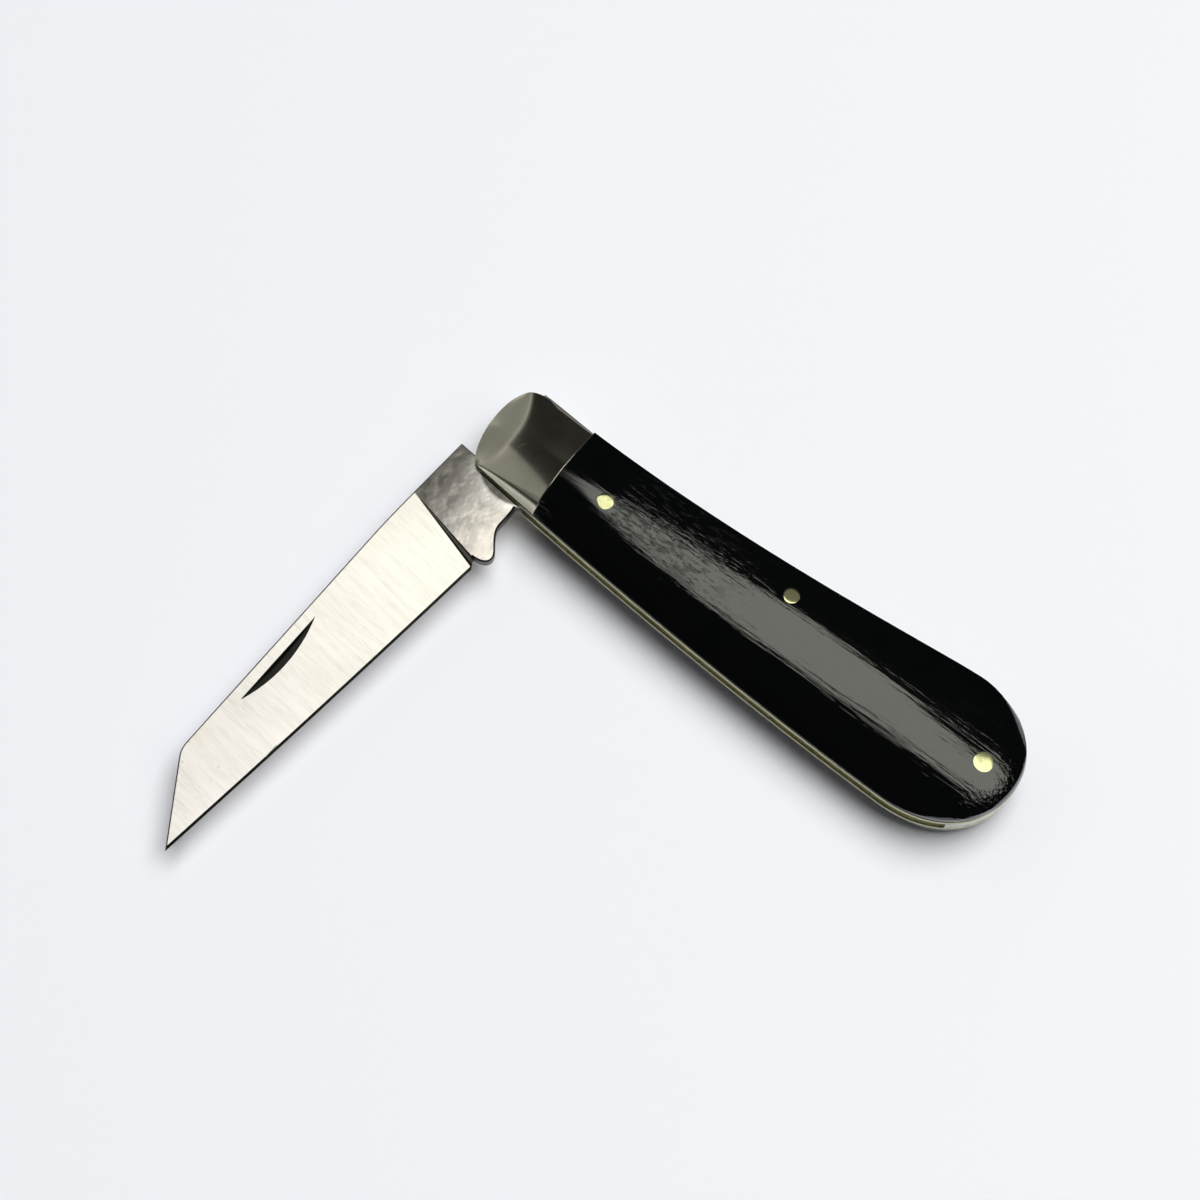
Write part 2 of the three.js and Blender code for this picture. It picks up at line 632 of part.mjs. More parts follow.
const handle = new THREE.Group();
handle.add(
  piece('liner_pile_side', makeLiner(COVER_THICKNESS), linerBrass),
  piece('liner_mark_side', makeLiner(SLOT_TOP), linerBrass),
  piece('backspring', makeBackspring(), springSteel),
  piece('bolster_pile_side', makeBolster(PILE_SIDE), bolsterMetal),
  piece('bolster_mark_side', makeBolster(MARK_SIDE), bolsterMetal),
  piece('cover_pile_side', makeCover(PILE_SIDE), blackWood),
  piece('cover_mark_side', makeCover(MARK_SIDE), blackWood),
  piece('pivot_pin', makePin(0, 0, PIVOT_PIN_RADIUS), bolsterMetal),
  piece('centre_pin', makePin(CENTRE_PIN.x, CENTRE_PIN.y, CENTRE_PIN.radius), pinBrass),
  piece('butt_pin', makePin(BUTT_PIN_X, BUTT_PIN.y, BUTT_PIN.radius), pinBrass),
  piece('cover_pin_pile_side', makeCoverPin(PILE_SIDE.base, SLOT_BASE), pinBrass),
  piece('cover_pin_mark_side', makeCoverPin(SLOT_TOP, MARK_SIDE.top), pinBrass),
);

const blade = piece('blade', makeBlade(), bladeSteel);
blade.position.z = MID_PLANE;
blade.rotation.z = THREE.MathUtils.degToRad(BLADE_REST_ANGLE);

const knife = new THREE.Group();
knife.add(handle, blade);

export default knife;
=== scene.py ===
"""Looks of a folding pocket knife, half open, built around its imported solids.

Lengths of shapes are millimetres in the knife's own frame, and each mesh is scaled to metres when it is
finished; lengths in finishes are metres. +X runs to the butt, +Y to the backspring's side, +Z up out of
the mark side.
"""

import logging
import math
from collections.abc import Callable
from dataclasses import dataclass, field
from enum import Enum

import bmesh
import bpy
import numpy as np
from bmesh.types import BMEdge, BMesh, BMFace, BMVert
from bpy.types import Material, Node, NodeSocket, NodeTree, Object
from mathutils import Matrix, Vector


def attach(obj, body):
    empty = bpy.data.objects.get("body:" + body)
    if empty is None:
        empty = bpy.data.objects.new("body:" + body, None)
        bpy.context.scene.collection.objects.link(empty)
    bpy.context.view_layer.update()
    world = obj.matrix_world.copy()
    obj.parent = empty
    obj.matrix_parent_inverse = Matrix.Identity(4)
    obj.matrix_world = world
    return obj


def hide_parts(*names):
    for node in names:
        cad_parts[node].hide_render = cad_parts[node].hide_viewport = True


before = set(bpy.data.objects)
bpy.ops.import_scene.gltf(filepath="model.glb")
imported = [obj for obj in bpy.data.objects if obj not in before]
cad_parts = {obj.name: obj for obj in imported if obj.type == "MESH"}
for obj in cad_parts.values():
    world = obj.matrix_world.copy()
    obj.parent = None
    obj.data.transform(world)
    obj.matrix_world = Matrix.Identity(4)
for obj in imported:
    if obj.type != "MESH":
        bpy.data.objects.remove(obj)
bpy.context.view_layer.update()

LOG = logging.getLogger("pocket_knife")
MM = 0.001
TINY = 1e-4
THICKNESS = 10.8
COVER_DEPTH = 3.4
LINER_DEPTH = 0.9
SLOT_WIDTH = 2.2
SLOT_BASE = COVER_DEPTH + LINER_DEPTH
SLOT_TOP = SLOT_BASE + SLOT_WIDTH
MARK_BASE = SLOT_TOP + LINER_DEPTH
JUNCTION_X = 5.35


class Side(Enum):
    """The two sides of the handle."""

    MARK = "mark"
    PILE = "pile"


class Slot(Enum):
    """The record's material slots."""

    BLADE = "blade_steel"
    SPRING = "spring_steel"
    LINER = "liner_brass"
    PIN = "pin_brass"
    BOLSTER = "bolster_metal"
    COVER = "cover_wood"


class BladeFinish(Enum):
    """The blade's finishes, in the order of its material slots."""

    GROUND = 0
    # NICK takes painted shade in the nick's hollow.
    NICK = 1
    # EDGE takes painted dark reflection and painted shade on the edge's bevel, walls and eased corners.
    EDGE = 2
    TANG = 3
    RAMP = 4


def bezier(points: list[tuple[float, float]], count: int) -> np.ndarray:
    """Samples a cubic curve.

    Args:
        points: The curve's start, its two pulls and its end.
        count: How many points come back, both ends among them.

    Returns:
        The points, one row each.
    """
    t = np.linspace(0, 1, count)[:, None]
    a, b, c, d = (np.array(p, float) for p in points)
    return a * (1 - t) ** 3 + 3 * b * t * (1 - t) ** 2 + 3 * c * t**2 * (1 - t) + d * t**3


def spread(path: np.ndarray, count: int, close: tuple = (0.0,)) -> np.ndarray:
    """Spaces points evenly along a path.

    Args:
        path: The path's own points.
        count: How many points come back.
        close: Lengths of the first points, which the even ones follow.

    Returns:
        The evenly spaced points.
    """
    steps = np.r_[0, np.cumsum(np.hypot(*np.diff(path, axis=0).T))]
    at = np.r_[close[:-1], np.linspace(close[-1], steps[-1], count - len(close) + 1)]
    return np.column_stack([np.interp(at, steps, path[:, 0]), np.interp(at, steps, path[:, 1])])


def share(start: float, end: float, part: float) -> float:
    """Returns the value that lies the given part of the way from start to end."""
    return start + (end - start) * part


@dataclass(frozen=True)
class HandleShape:
    """Outline and crown of the handle, shared by every piece of it.

    The crease's ease is how much wider and how much higher it is at the junction, and over what
    length that fades.
    """

    channel_curve: tuple = ((-4.3, -4.55), (29.01, -8.12), (55.74, -8.5), (63.15, -8.5))
    butt_under: tuple = ((63.15, -8.5), (71.07, -8.5), (76.35, -4.14), (76.35, 2.4))
    butt_over: tuple = ((76.35, 2.4), (76.35, 7.95), (71.95, 11.65), (65.35, 11.65))
    spine_curve: tuple = ((65.35, 11.65), (59.7, 11.65), (27.94, 6.53), (-2.3, 8.3))
    nose_over: tuple = ((-2.3, 8.3), (-5.3, 8.18), (-6.8, 6.6), (-6.8, 2.2))
    nose_under: tuple = ((-6.8, 2.2), (-6.8, -0.6), (-6.1, -2.9), (-5.2, -4.1))
    nose_corner: tuple = ((-5.2, -4.1), (-5.0, -4.35), (-4.3, -4.55), (-4.3, -4.55))
    fineness: int = 160
    edge_inset: float = 0.1
    crease_width: float = 1.85
    crease_height: float = 1.7
    crease_ease: tuple = (0.28, 0.5, 4.0)
    spine_side_height: float = 2.1
    spine_edge: float = 0.15

    def curve(self, name: str) -> np.ndarray:
        """Returns the points of one named stretch of the outline."""
        return bezier(getattr(self, name), self.fineness)

    def spine(self, x: float) -> float:
        """Returns the height of the spine edge at x."""
        points = self.curve("spine_curve")[::-1]
        return float(np.interp(x, points[:, 0], points[:, 1]))

    def outline(self, count: int) -> np.ndarray:
        """Returns the whole outline as evenly spaced points, anticlockwise from the nose's corner."""
        names = ("channel_curve", "butt_under", "butt_over", "spine_curve", "nose_over",
                 "nose_under", "nose_corner")
        path = np.vstack([self.curve(name) for name in names])
        return spread(path, count + 1)[:-1]


class Nodes:
    """A node tree in the making, whose inputs take plain values or sockets."""

    def __init__(self, tree: NodeTree) -> None:
        """Keeps the tree that the nodes are added to."""
        self.tree = tree

    def plug(self, source: object, target: NodeSocket) -> None:
        """Links a socket to an input, or sets the input to a plain value."""
        if isinstance(source, NodeSocket):
            self.tree.links.new(source, target)
        else:
            target.default_value = source

    def add(self, kind: str, *sources: object, **settings: object) -> Node:
        """Adds a node.

        Args:
            kind: The node's type.
            sources: What its first inputs take, in order.
            settings: Its properties, by name.

        Returns:
            The node.
        """
        node = self.tree.nodes.new(kind)
        for name, value in settings.items():
            setattr(node, name, value)
        for target, source in zip(node.inputs, sources):
            self.plug(source, target)
        return node

    def fill(self, node: Node, **sources: object) -> Node:
        """Fills a node's inputs by name, with _ for each space of a name, and returns the node."""
        for name, source in sources.items():
            self.plug(source, node.inputs[name.replace("_", " ")])
        return node

    def calc(self, operation: str, first: object, second: object) -> NodeSocket:
        """Returns the result of one sum on two values."""
        return self.add("ShaderNodeMath", first, second, operation=operation).outputs[0]

    def between(self, value: NodeSocket, low: float, high: float, start: object = 0.0,
                end: object = 1.0) -> NodeSocket:
        """Maps a value from low..high to start..end, held at the ends."""
        return self.add("ShaderNodeMapRange", value, low, high, start, end, clamp=True).outputs[0]

    def blend(self, part: NodeSocket, first: object, second: object) -> NodeSocket:
        """Mixes two colours by a part from 0 to 1."""
        node = self.add("ShaderNodeMix", data_type="RGBA")
        for name, source in (("Factor_Float", part), ("A_Color", first), ("B_Color", second)):
            self.plug(source, next(s for s in node.inputs if s.identifier == name))
        return next(s for s in node.outputs if s.identifier == "Result_Color")

    def noise(self, vector: NodeSocket, detail: float = 2.0, distortion: object = 0.0) -> NodeSocket:
        """Returns a noise of one feature to the unit over a vector."""
        node = self.fill(self.add("ShaderNodeTexNoise"), Vector=vector, Scale=1.0, Detail=detail,
                         Distortion=distortion)
        return node.outputs["Fac"]

    def stretched(self, vector: NodeSocket, along: NodeSocket, across: NodeSocket) -> NodeSocket:
        """Multiplies a vector by its features to the metre along X and across it."""
        scale = self.add("ShaderNodeCombineXYZ", along, across, across).outputs[0]
        return self.add("ShaderNodeVectorMath", vector, scale, operation="MULTIPLY").outputs[0]

    def places(self, vector: NodeSocket) -> list[NodeSocket]:
        """Returns a vector's x, y and z."""
        return list(self.add("ShaderNodeSeparateXYZ", vector).outputs)


class NodeWork(Nodes):
    """A node material in the making, with its shader and the object's coordinates."""

    def __init__(self, name: str) -> None:
        """Makes a node material with one shader."""
        self.material = bpy.data.materials.new(name)
        self.material.use_nodes = True
        super().__init__(self.material.node_tree)
        self.shader = self.tree.nodes["Principled BSDF"]
        self.coordinates = self.add("ShaderNodeTexCoord").outputs["Object"]

    def group(self, tree: NodeTree, **values: object) -> Node:
        """Places a node group, over the object's coordinates unless another Vector is given."""
        node = self.add("ShaderNodeGroup", node_tree=tree)
        return self.fill(node, **{"Vector": self.coordinates, **values})

    def finish(self, **values: object) -> Material:
        """Fills the shader's inputs and returns the finished material."""
        self.fill(self.shader, **values)
        return self.material

    def bump(self, height: NodeSocket, depth: float, strength: object,
             under: NodeSocket | None = None) -> NodeSocket:
        """Turns a height into a normal.

        Args:
            height: The height's socket, from 0 to 1.
            depth: How deep a height of 1 is, in metres.
            strength: How much of the effect shows.
            under: A normal that this one is laid over.

        Returns:
            The normal's socket.
        """
        bump = self.fill(self.add("ShaderNodeBump"), Distance=depth, Strength=strength, Height=height)
        if under is not None:
            self.plug(under, bump.inputs["Normal"])
        return bump.outputs["Normal"]

    def turned(self, angle: float) -> NodeSocket:
        """Returns the object's coordinates, turned about Z by an angle in degrees."""
        turn = self.fill(self.add("ShaderNodeMapping"), Rotation=(0, 0, math.radians(angle)),
                         Vector=self.coordinates)
        return turn.outputs["Vector"]

    def near(self, point: tuple, reach: float) -> NodeSocket:
        """Returns a value that falls from 1 at a point to 0 at a distance in metres."""
        away = self.add("ShaderNodeVectorMath", self.coordinates, point, operation="DISTANCE")
        return self.between(away.outputs["Value"], 0.0, reach, 1.0, 0.0)


class Effects:
    """Node groups that several finishes place with their own values."""

    streak_detail: float = 3.0
    mask_fade: float = 0.06
    drift_span: tuple = (0.3, 0.7)

    def __init__(self) -> None:
        """Builds each group once."""
        self.streaks = self.make_streaks()
        self.drift = self.make_drift()
        self.specks = self.make_specks()

    def open_group(self, name: str, inputs: tuple, outputs: tuple) -> tuple:
        """Makes a group that takes a vector and some values.

        Args:
            name: The group's name.
            inputs: Names of the inputs beside the vector, which are all single values.
            outputs: Names of the outputs, which are single values too.

        Returns:
            The group's nodes, and the sockets that give its inputs and take its outputs.
        """
        tree = bpy.data.node_groups.new(name, "ShaderNodeTree")
        tree.interface.new_socket(name="Vector", in_out="INPUT", socket_type="NodeSocketVector")
        for way, labels in (("INPUT", inputs), ("OUTPUT", outputs)):
            for label in labels:
                tree.interface.new_socket(name=label, in_out=way, socket_type="NodeSocketFloat")
        work = Nodes(tree)
        return work, work.add("NodeGroupInput").outputs, work.add("NodeGroupOutput").inputs

    def make_streaks(self) -> NodeTree:
        """Builds streaks along X: a height, and a mask of the deepest ones."""
        inputs = ("Along", "Across", "Wander", "Threshold")
        work, given, out = self.open_group("streaks", inputs, ("Height", "Mask"))
        vector = work.stretched(given["Vector"], given["Along"], given["Across"])
        height = work.noise(vector, self.streak_detail, given["Wander"])
        work.plug(height, out["Height"])
        over = work.calc("SUBTRACT", height, given["Threshold"])
        work.plug(work.between(over, 0.0, self.mask_fade), out["Mask"])
        return work.tree

    def make_drift(self) -> NodeTree:
        """Builds a slow cloudy change from 0 to High, as handling and polishing leave it."""
        work, given, out = self.open_group("drift", ("Features", "High"), ("Value",))
        vector = work.stretched(given["Vector"], given["Features"], given["Features"])
        value = work.between(work.noise(vector), *self.drift_span, 0.0, given["High"])
        work.plug(value, out["Value"])
        return work.tree

    def make_specks(self) -> NodeTree:
        """Builds a mask of scattered small specks."""
        work, given, out = self.open_group("specks", ("Features", "Size"), ("Mask",))
        vector = work.stretched(given["Vector"], given["Features"], given["Features"])
        cells = work.fill(work.add("ShaderNodeTexVoronoi"), Vector=vector, Scale=1.0)
        work.plug(work.calc("LESS_THAN", cells.outputs["Distance"], given["Size"]), out["Mask"])
        return work.tree


@dataclass(frozen=True)
class BlackWood:
    """Glossy wood stained nearly black, with open pores at the front and long dark grain.

    A span is two places, with how much of an effect there is at one and at the other. A relief is
    its depth and how much of it shows.
    """

    name: str = "black_wood"
    stain: tuple = (0.0008, 0.0012, 0.0014, 1)
    worn: tuple = (0.0018, 0.0019, 0.0018, 1)
    gloss: float = 0.06
    pore_roughness: float = 0.22
    front_spans: tuple = ((0.0125, 0.0145, 0.0, 1.0), (0.026, 0.040, 1.0, 0.1))
    front_side: tuple = (-0.0035, -0.001, 0.0, 1.0)
    butt_span: tuple = (0.0725, 0.0745, 0.0, 0.8)
    channel_spans: tuple = ((-0.0055, -0.0038, 0.0, 1.0), (-0.0018, 0.0, 1.0, 0.08))
    spine_span: tuple = (0.0022, 0.0038, 0.0, 0.13)
    wave_relief: tuple = (0.00006, 0.8)
    grain_depth: float = 0.00008
    pore_depth: float = 0.00006

    def make(self, effects: Effects) -> Material:
        """Builds the material from the shared effects and returns it."""
        work = NodeWork(self.name)
        x, y, _ = work.places(work.coordinates)
        front = work.calc("MINIMUM", *(work.between(x, *span) for span in self.front_spans))
        front = work.calc("MULTIPLY", front, work.between(y, *self.front_side))
        channel = work.calc("MINIMUM", *(work.between(y, *span) for span in self.channel_spans))
        pores = work.group(effects.streaks, Along=520.0, Across=2100.0, Wander=0.6, Threshold=0.53)
        grain = work.group(effects.streaks, Along=120.0, Across=2300.0, Wander=0.4, Threshold=0.6)
        waves = work.group(effects.streaks, Along=26.0, Across=420.0, Wander=0.5, Threshold=0.6)
        tone = work.group(effects.drift, Features=160.0, High=0.6)
        wavy = work.bump(waves.outputs["Height"], *self.wave_relief)
        lined = work.bump(grain.outputs["Height"], self.grain_depth,
                          work.calc("MAXIMUM", channel, work.between(y, *self.spine_span)), wavy)
        porous = work.bump(pores.outputs["Height"], self.pore_depth,
                           work.calc("MAXIMUM", front, work.between(x, *self.butt_span)), lined)
        open_pores = work.calc("MULTIPLY", pores.outputs["Mask"], front)
        rough_pores = work.calc("MULTIPLY", open_pores, self.pore_roughness)
        return work.finish(
            Base_Color=work.blend(tone.outputs["Value"], self.stain, self.worn),
            Roughness=work.calc("ADD", rough_pores, self.gloss),
            Specular_IOR_Level=1.0,
            Normal=porous,
        )


@dataclass(frozen=True)
class PolishedMetal:
    """A polished metal with fine scratches, a cloudy tone and an uneven gloss."""

    name: str = "nickel_silver"
    colour: tuple = (0.66, 0.64, 0.51, 1)
    toned: tuple = (0.59, 0.57, 0.44, 1)
    roughness: float = 0.13
    scratch: float = 0.25
    turn: float = 20.0
    uneven: float = 0.05
    scratch_depth: float = 0.000004

    def make(self, effects: Effects) -> Material:
        """Builds the material from the shared effects and returns it."""
        work = NodeWork(self.name)
        fine = work.group(effects.streaks, Vector=work.turned(self.turn), Along=180.0, Across=6500.0,
                          Wander=0.1, Threshold=0.62)
        tone = work.group(effects.drift, Features=260.0, High=1.0).outputs["Value"]
        return work.finish(
            Base_Color=work.blend(tone, self.colour, self.toned),
            Metallic=1.0,
            Roughness=work.calc("ADD", work.calc("MULTIPLY", tone, self.uneven), self.roughness),
            Normal=work.bump(fine.outputs["Height"], self.scratch_depth, self.scratch),
        )


SILVER = PolishedMetal(scratch=0.03)
LINER_BRASS = PolishedMetal(
    "liner_brass", (0.6, 0.59, 0.39, 1), (0.47, 0.46, 0.29, 1), 0.24, 0.4, 0.0)
PIN_BRASS = PolishedMetal(
    "pin_brass", (0.7, 0.69, 0.4, 1), (0.64, 0.63, 0.34, 1), 0.1, 0.2, 35.0)
SPRING_STEEL = PolishedMetal(
    "spring_steel", (0.66, 0.65, 0.6, 1), (0.58, 0.57, 0.52, 1), 0.36, 0.5, 0.0)
# Near black: painted shade in the hollow of the nail nick.
NICK_STEEL_PAINTED_SHADE = PolishedMetal(
    "nick_steel_painted_shade", (0.07, 0.068, 0.062, 1), (0.05, 0.048, 0.044, 1), 0.2, 0.3, 60.0)
# Near black: painted dark reflection and painted shade on the sharpened edge's bevel, the plunge's lines,
# the blade's walls and its eased corners.
EDGE_STEEL_PAINTED_DARK = PolishedMetal(
    "edge_steel_painted_dark", (0.06, 0.057, 0.05, 1), (0.04, 0.038, 0.033, 1), 0.3, 0.3, 60.0)
RAMP_STEEL = PolishedMetal(
    "ramp_steel", (0.5, 0.47, 0.41, 1), (0.3, 0.28, 0.24, 1), 0.3, 0.5, 5.0)


@dataclass(frozen=True)
class BrushedBlade:
    """Ground blade steel: fine brushing square to the length, faint tints and a few specks.

    The worn place is where tints and specks gather, out to its reach. A span is two heights of the
    brushing, with how light the steel is at one and at the other.
    """

    name: str = "brushed_blade"
    light: tuple = (0.95, 0.905, 0.87, 1)
    shade: tuple = (0.75, 0.705, 0.67, 1)
    pink: tuple = (0.80, 0.72, 0.63, 1)
    speck: tuple = (0.45, 0.43, 0.40, 1)
    across_angle: float = 185.5
    worn_place: tuple = (-0.0105, -0.0545, 0.006)
    worn_reach: float = 0.007
    speck_share: float = 0.6
    tone_most: float = 0.6
    line_span: tuple = (0.34, 0.58, 0.0, 1.0)
    broad_span: tuple = (0.3, 0.6, 0.3, 1.0)
    roughness: tuple = (0.30, 0.34)
    brushing: tuple = (0.00001, 0.5)

    def make(self, effects: Effects) -> Material:
        """Builds the material from the shared effects and returns it."""
        work = NodeWork(self.name)
        across = work.turned(self.across_angle)
        brush = work.group(effects.streaks, Vector=across, Along=55.0, Across=7000.0, Wander=0.05,
                           Threshold=0.62)
        broad = work.group(effects.streaks, Vector=across, Along=90.0, Across=1500.0, Wander=0.1,
                           Threshold=0.6)
        tone = work.group(effects.drift, Features=90.0, High=self.tone_most).outputs["Value"]
        specks = work.group(effects.specks, Features=620.0, Size=0.14)
        lines = work.calc("MAXIMUM", work.between(brush.outputs["Height"], *self.line_span),
                          work.between(broad.outputs["Height"], *self.broad_span))
        worn = work.near(self.worn_place, self.worn_reach)
        steel = work.blend(lines, self.shade, self.light)
        tinted = work.blend(work.calc("MULTIPLY", tone, worn), steel, self.pink)
        spotted = work.calc("MULTIPLY", work.calc("MULTIPLY", specks.outputs["Mask"], worn),
                            self.speck_share)
        return work.finish(
            Base_Color=work.blend(spotted, tinted, self.speck),
            Metallic=1.0,
            Roughness=work.between(tone, 0.0, self.tone_most, *self.roughness),
            Normal=work.bump(brush.outputs["Height"], *self.brushing),
        )


@dataclass(frozen=True)
class PolishedTang:
    """The tang's steel: warm, cloudy and nearly mirror bright, with a paler ring about the pivot.

    The ring's places are distances from the pivot: it rises between the first two and falls between
    the last two. The pale ring is a painted highlight along the boss's rim, and the darker part
    nearer the pivot is painted shade where the handle shades the tang. The shares say how much of the
    lines, the painted highlight and the painted shade show.
    """

    name: str = "polished_tang"
    warm: tuple = (0.88, 0.82, 0.74, 1)
    cloudy: tuple = (0.66, 0.62, 0.56, 1)
    # painted highlight: the pale band where the boss's rim would catch the light
    ring: tuple = (0.95, 0.93, 0.86, 1)
    # painted shade: the dark colour laid nearer the pivot, where the handle shades the tang
    painted_shade_colour: tuple = (0.07, 0.062, 0.054, 1)
    pivot: tuple = (0.0, 0.0, 0.0064)
    pivot_reach: float = 0.02
    ring_places: tuple = (0.0059, 0.0062, 0.0066, 0.0078)
    shares: tuple = (0.2, 0.8, 0.85)
    tone_most: float = 0.8
    roughness: tuple = (0.09, 0.13)
    relief: tuple = (0.00001, 0.45)

    def make(self, effects: Effects) -> Material:
        """Builds the material from the shared effects and returns it."""
        work = NodeWork(self.name)
        cloud = work.group(effects.drift, Features=480.0, High=self.tone_most).outputs["Value"]
        lines = work.group(effects.streaks, Vector=work.turned(70.0), Along=220.0, Across=1500.0,
                           Wander=1.5, Threshold=0.6)
        away = work.near(self.pivot, self.pivot_reach)
        low, start, end, high = (1.0 - place / self.pivot_reach for place in self.ring_places)
        # Painted shade nearer the pivot, and a painted highlight in the pale band about it.
        painted_shade_part = work.between(away, start, low)
        ring = work.calc("MULTIPLY", work.between(away, high, end),
                         work.between(away, start, low, 1.0, 0.0))
        steel = work.blend(cloud, self.warm, self.cloudy)
        layers = zip((lines.outputs["Mask"], ring, painted_shade_part), self.shares,
                     (self.cloudy, self.ring, self.painted_shade_colour))
        for mask, part, colour in layers:
            steel = work.blend(work.calc("MULTIPLY", mask, part), steel, colour)
        return work.finish(
            Base_Color=steel,
            Metallic=1.0,
            Roughness=work.between(cloud, 0.0, self.tone_most, *self.roughness),
            Normal=work.bump(cloud, *self.relief),
        )


def start_outline(points: np.ndarray) -> BMesh:
    """Starts a mesh with one flat face of the given outline.

    Args:
        points: The outline, anticlockwise, in millimetres.

    Returns:
        The mesh, with its face at height 0.
    """
    bm = bmesh.new()
    made = bmesh.ops.create_circle(bm, cap_ends=True, radius=1, segments=len(points))
    for vert, (x, y) in zip(made["verts"], points):
        vert.co = (x, y, 0)
    return bm


def raise_plate(bm: BMesh, base: float, top: float) -> None:
    """Extrudes every face of a flat mesh into a plate.

    Args:
        bm: The flat mesh, which is moved to the plate's base.
        base: Height of its underside.
        top: Height of its upper side.
    """
    bmesh.ops.translate(bm, vec=(0, 0, base), verts=bm.verts)
    made = bmesh.ops.extrude_face_region(bm, geom=bm.faces[:])
    moved = [e for e in made["geom"] if isinstance(e, BMVert)]
    bmesh.ops.translate(bm, vec=(0, 0, top - base), verts=moved)
    bmesh.ops.recalc_face_normals(bm, faces=bm.faces)


def ease_edges(bm: BMesh, edges: list[BMEdge], width: float, segments: int = 2) -> None:
    """Bevels edges by a small width in the mesh's units."""
    bmesh.ops.bevel(bm, geom=edges, offset=width, offset_type="OFFSET", segments=segments,
                    profile=0.5, affect="EDGES", clamp_overlap=True, material=-1)


def rim_edges(bm: BMesh) -> list[BMEdge]:
    """Returns the edges where a level face meets an upright one."""
    found = []
    for edge in bm.edges:
        if len(edge.link_faces) == 2:
            a, b = (abs(face.normal.z) for face in edge.link_faces)
            if max(a, b) > 0.9 and min(a, b) < 0.1:
                found.append(edge)
    return found


def add_object(name: str, data: bpy.types.ID) -> Object:
    """Makes the object of a mesh, a lamp or a camera and puts it into the scene."""
    made = bpy.data.objects.new(name, data)
    bpy.context.scene.collection.objects.link(made)
    return made


def finish_piece(bm: BMesh, name: str, node: str, materials: list[Material],
                 smooth: float = 32.0, body: str = "handle") -> Object:
    """Scales a finished mesh to metres, makes its object, puts it on its body and hides its solid.

    Args:
        bm: The mesh in millimetres, which is freed; its hard edges stay crisp.
        name: The piece's name.
        node: The solid that it replaces.
        materials: The finishes of its faces.
        smooth: Edges sharper than this angle in degrees stay crisp too.
        body: The body that it rides on.

    Returns:
        The object, at the origin.
    """
    bmesh.ops.scale(bm, vec=(MM, MM, MM), verts=bm.verts)
    bmesh.ops.recalc_face_normals(bm, faces=bm.faces)
    bm.edges.index_update()
    hard = [edge.index for edge in bm.edges if not edge.smooth]
    mesh = bpy.data.meshes.new(name)
    bm.to_mesh(mesh)
    bm.free()
    mesh.shade_smooth()
    mesh.set_sharp_from_angle(angle=math.radians(smooth))
    for index in hard:
        mesh.edges[index].use_edge_sharp = True
    for material in materials:
        mesh.materials.append(material)
    piece = add_object(name, mesh)
    LOG.info("%s: %d faces", name, len(mesh.polygons))
    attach(piece, body)
    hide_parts(node)
    return piece


def softer(first: float, second: float, gap: float) -> float:
    """Returns the lower of two heights, rounded off where they are closer than the gap."""
    near = max(gap - abs(first - second), 0.0)
    return min(first, second) - near**2 / (4 * gap)


def rounding(distance: float, radius: float) -> float:
    """Returns how far a rounded edge has dropped at a distance from it."""
    if distance >= radius:
        return 0.0
    return radius - math.sqrt(radius**2 - (radius - distance) ** 2)


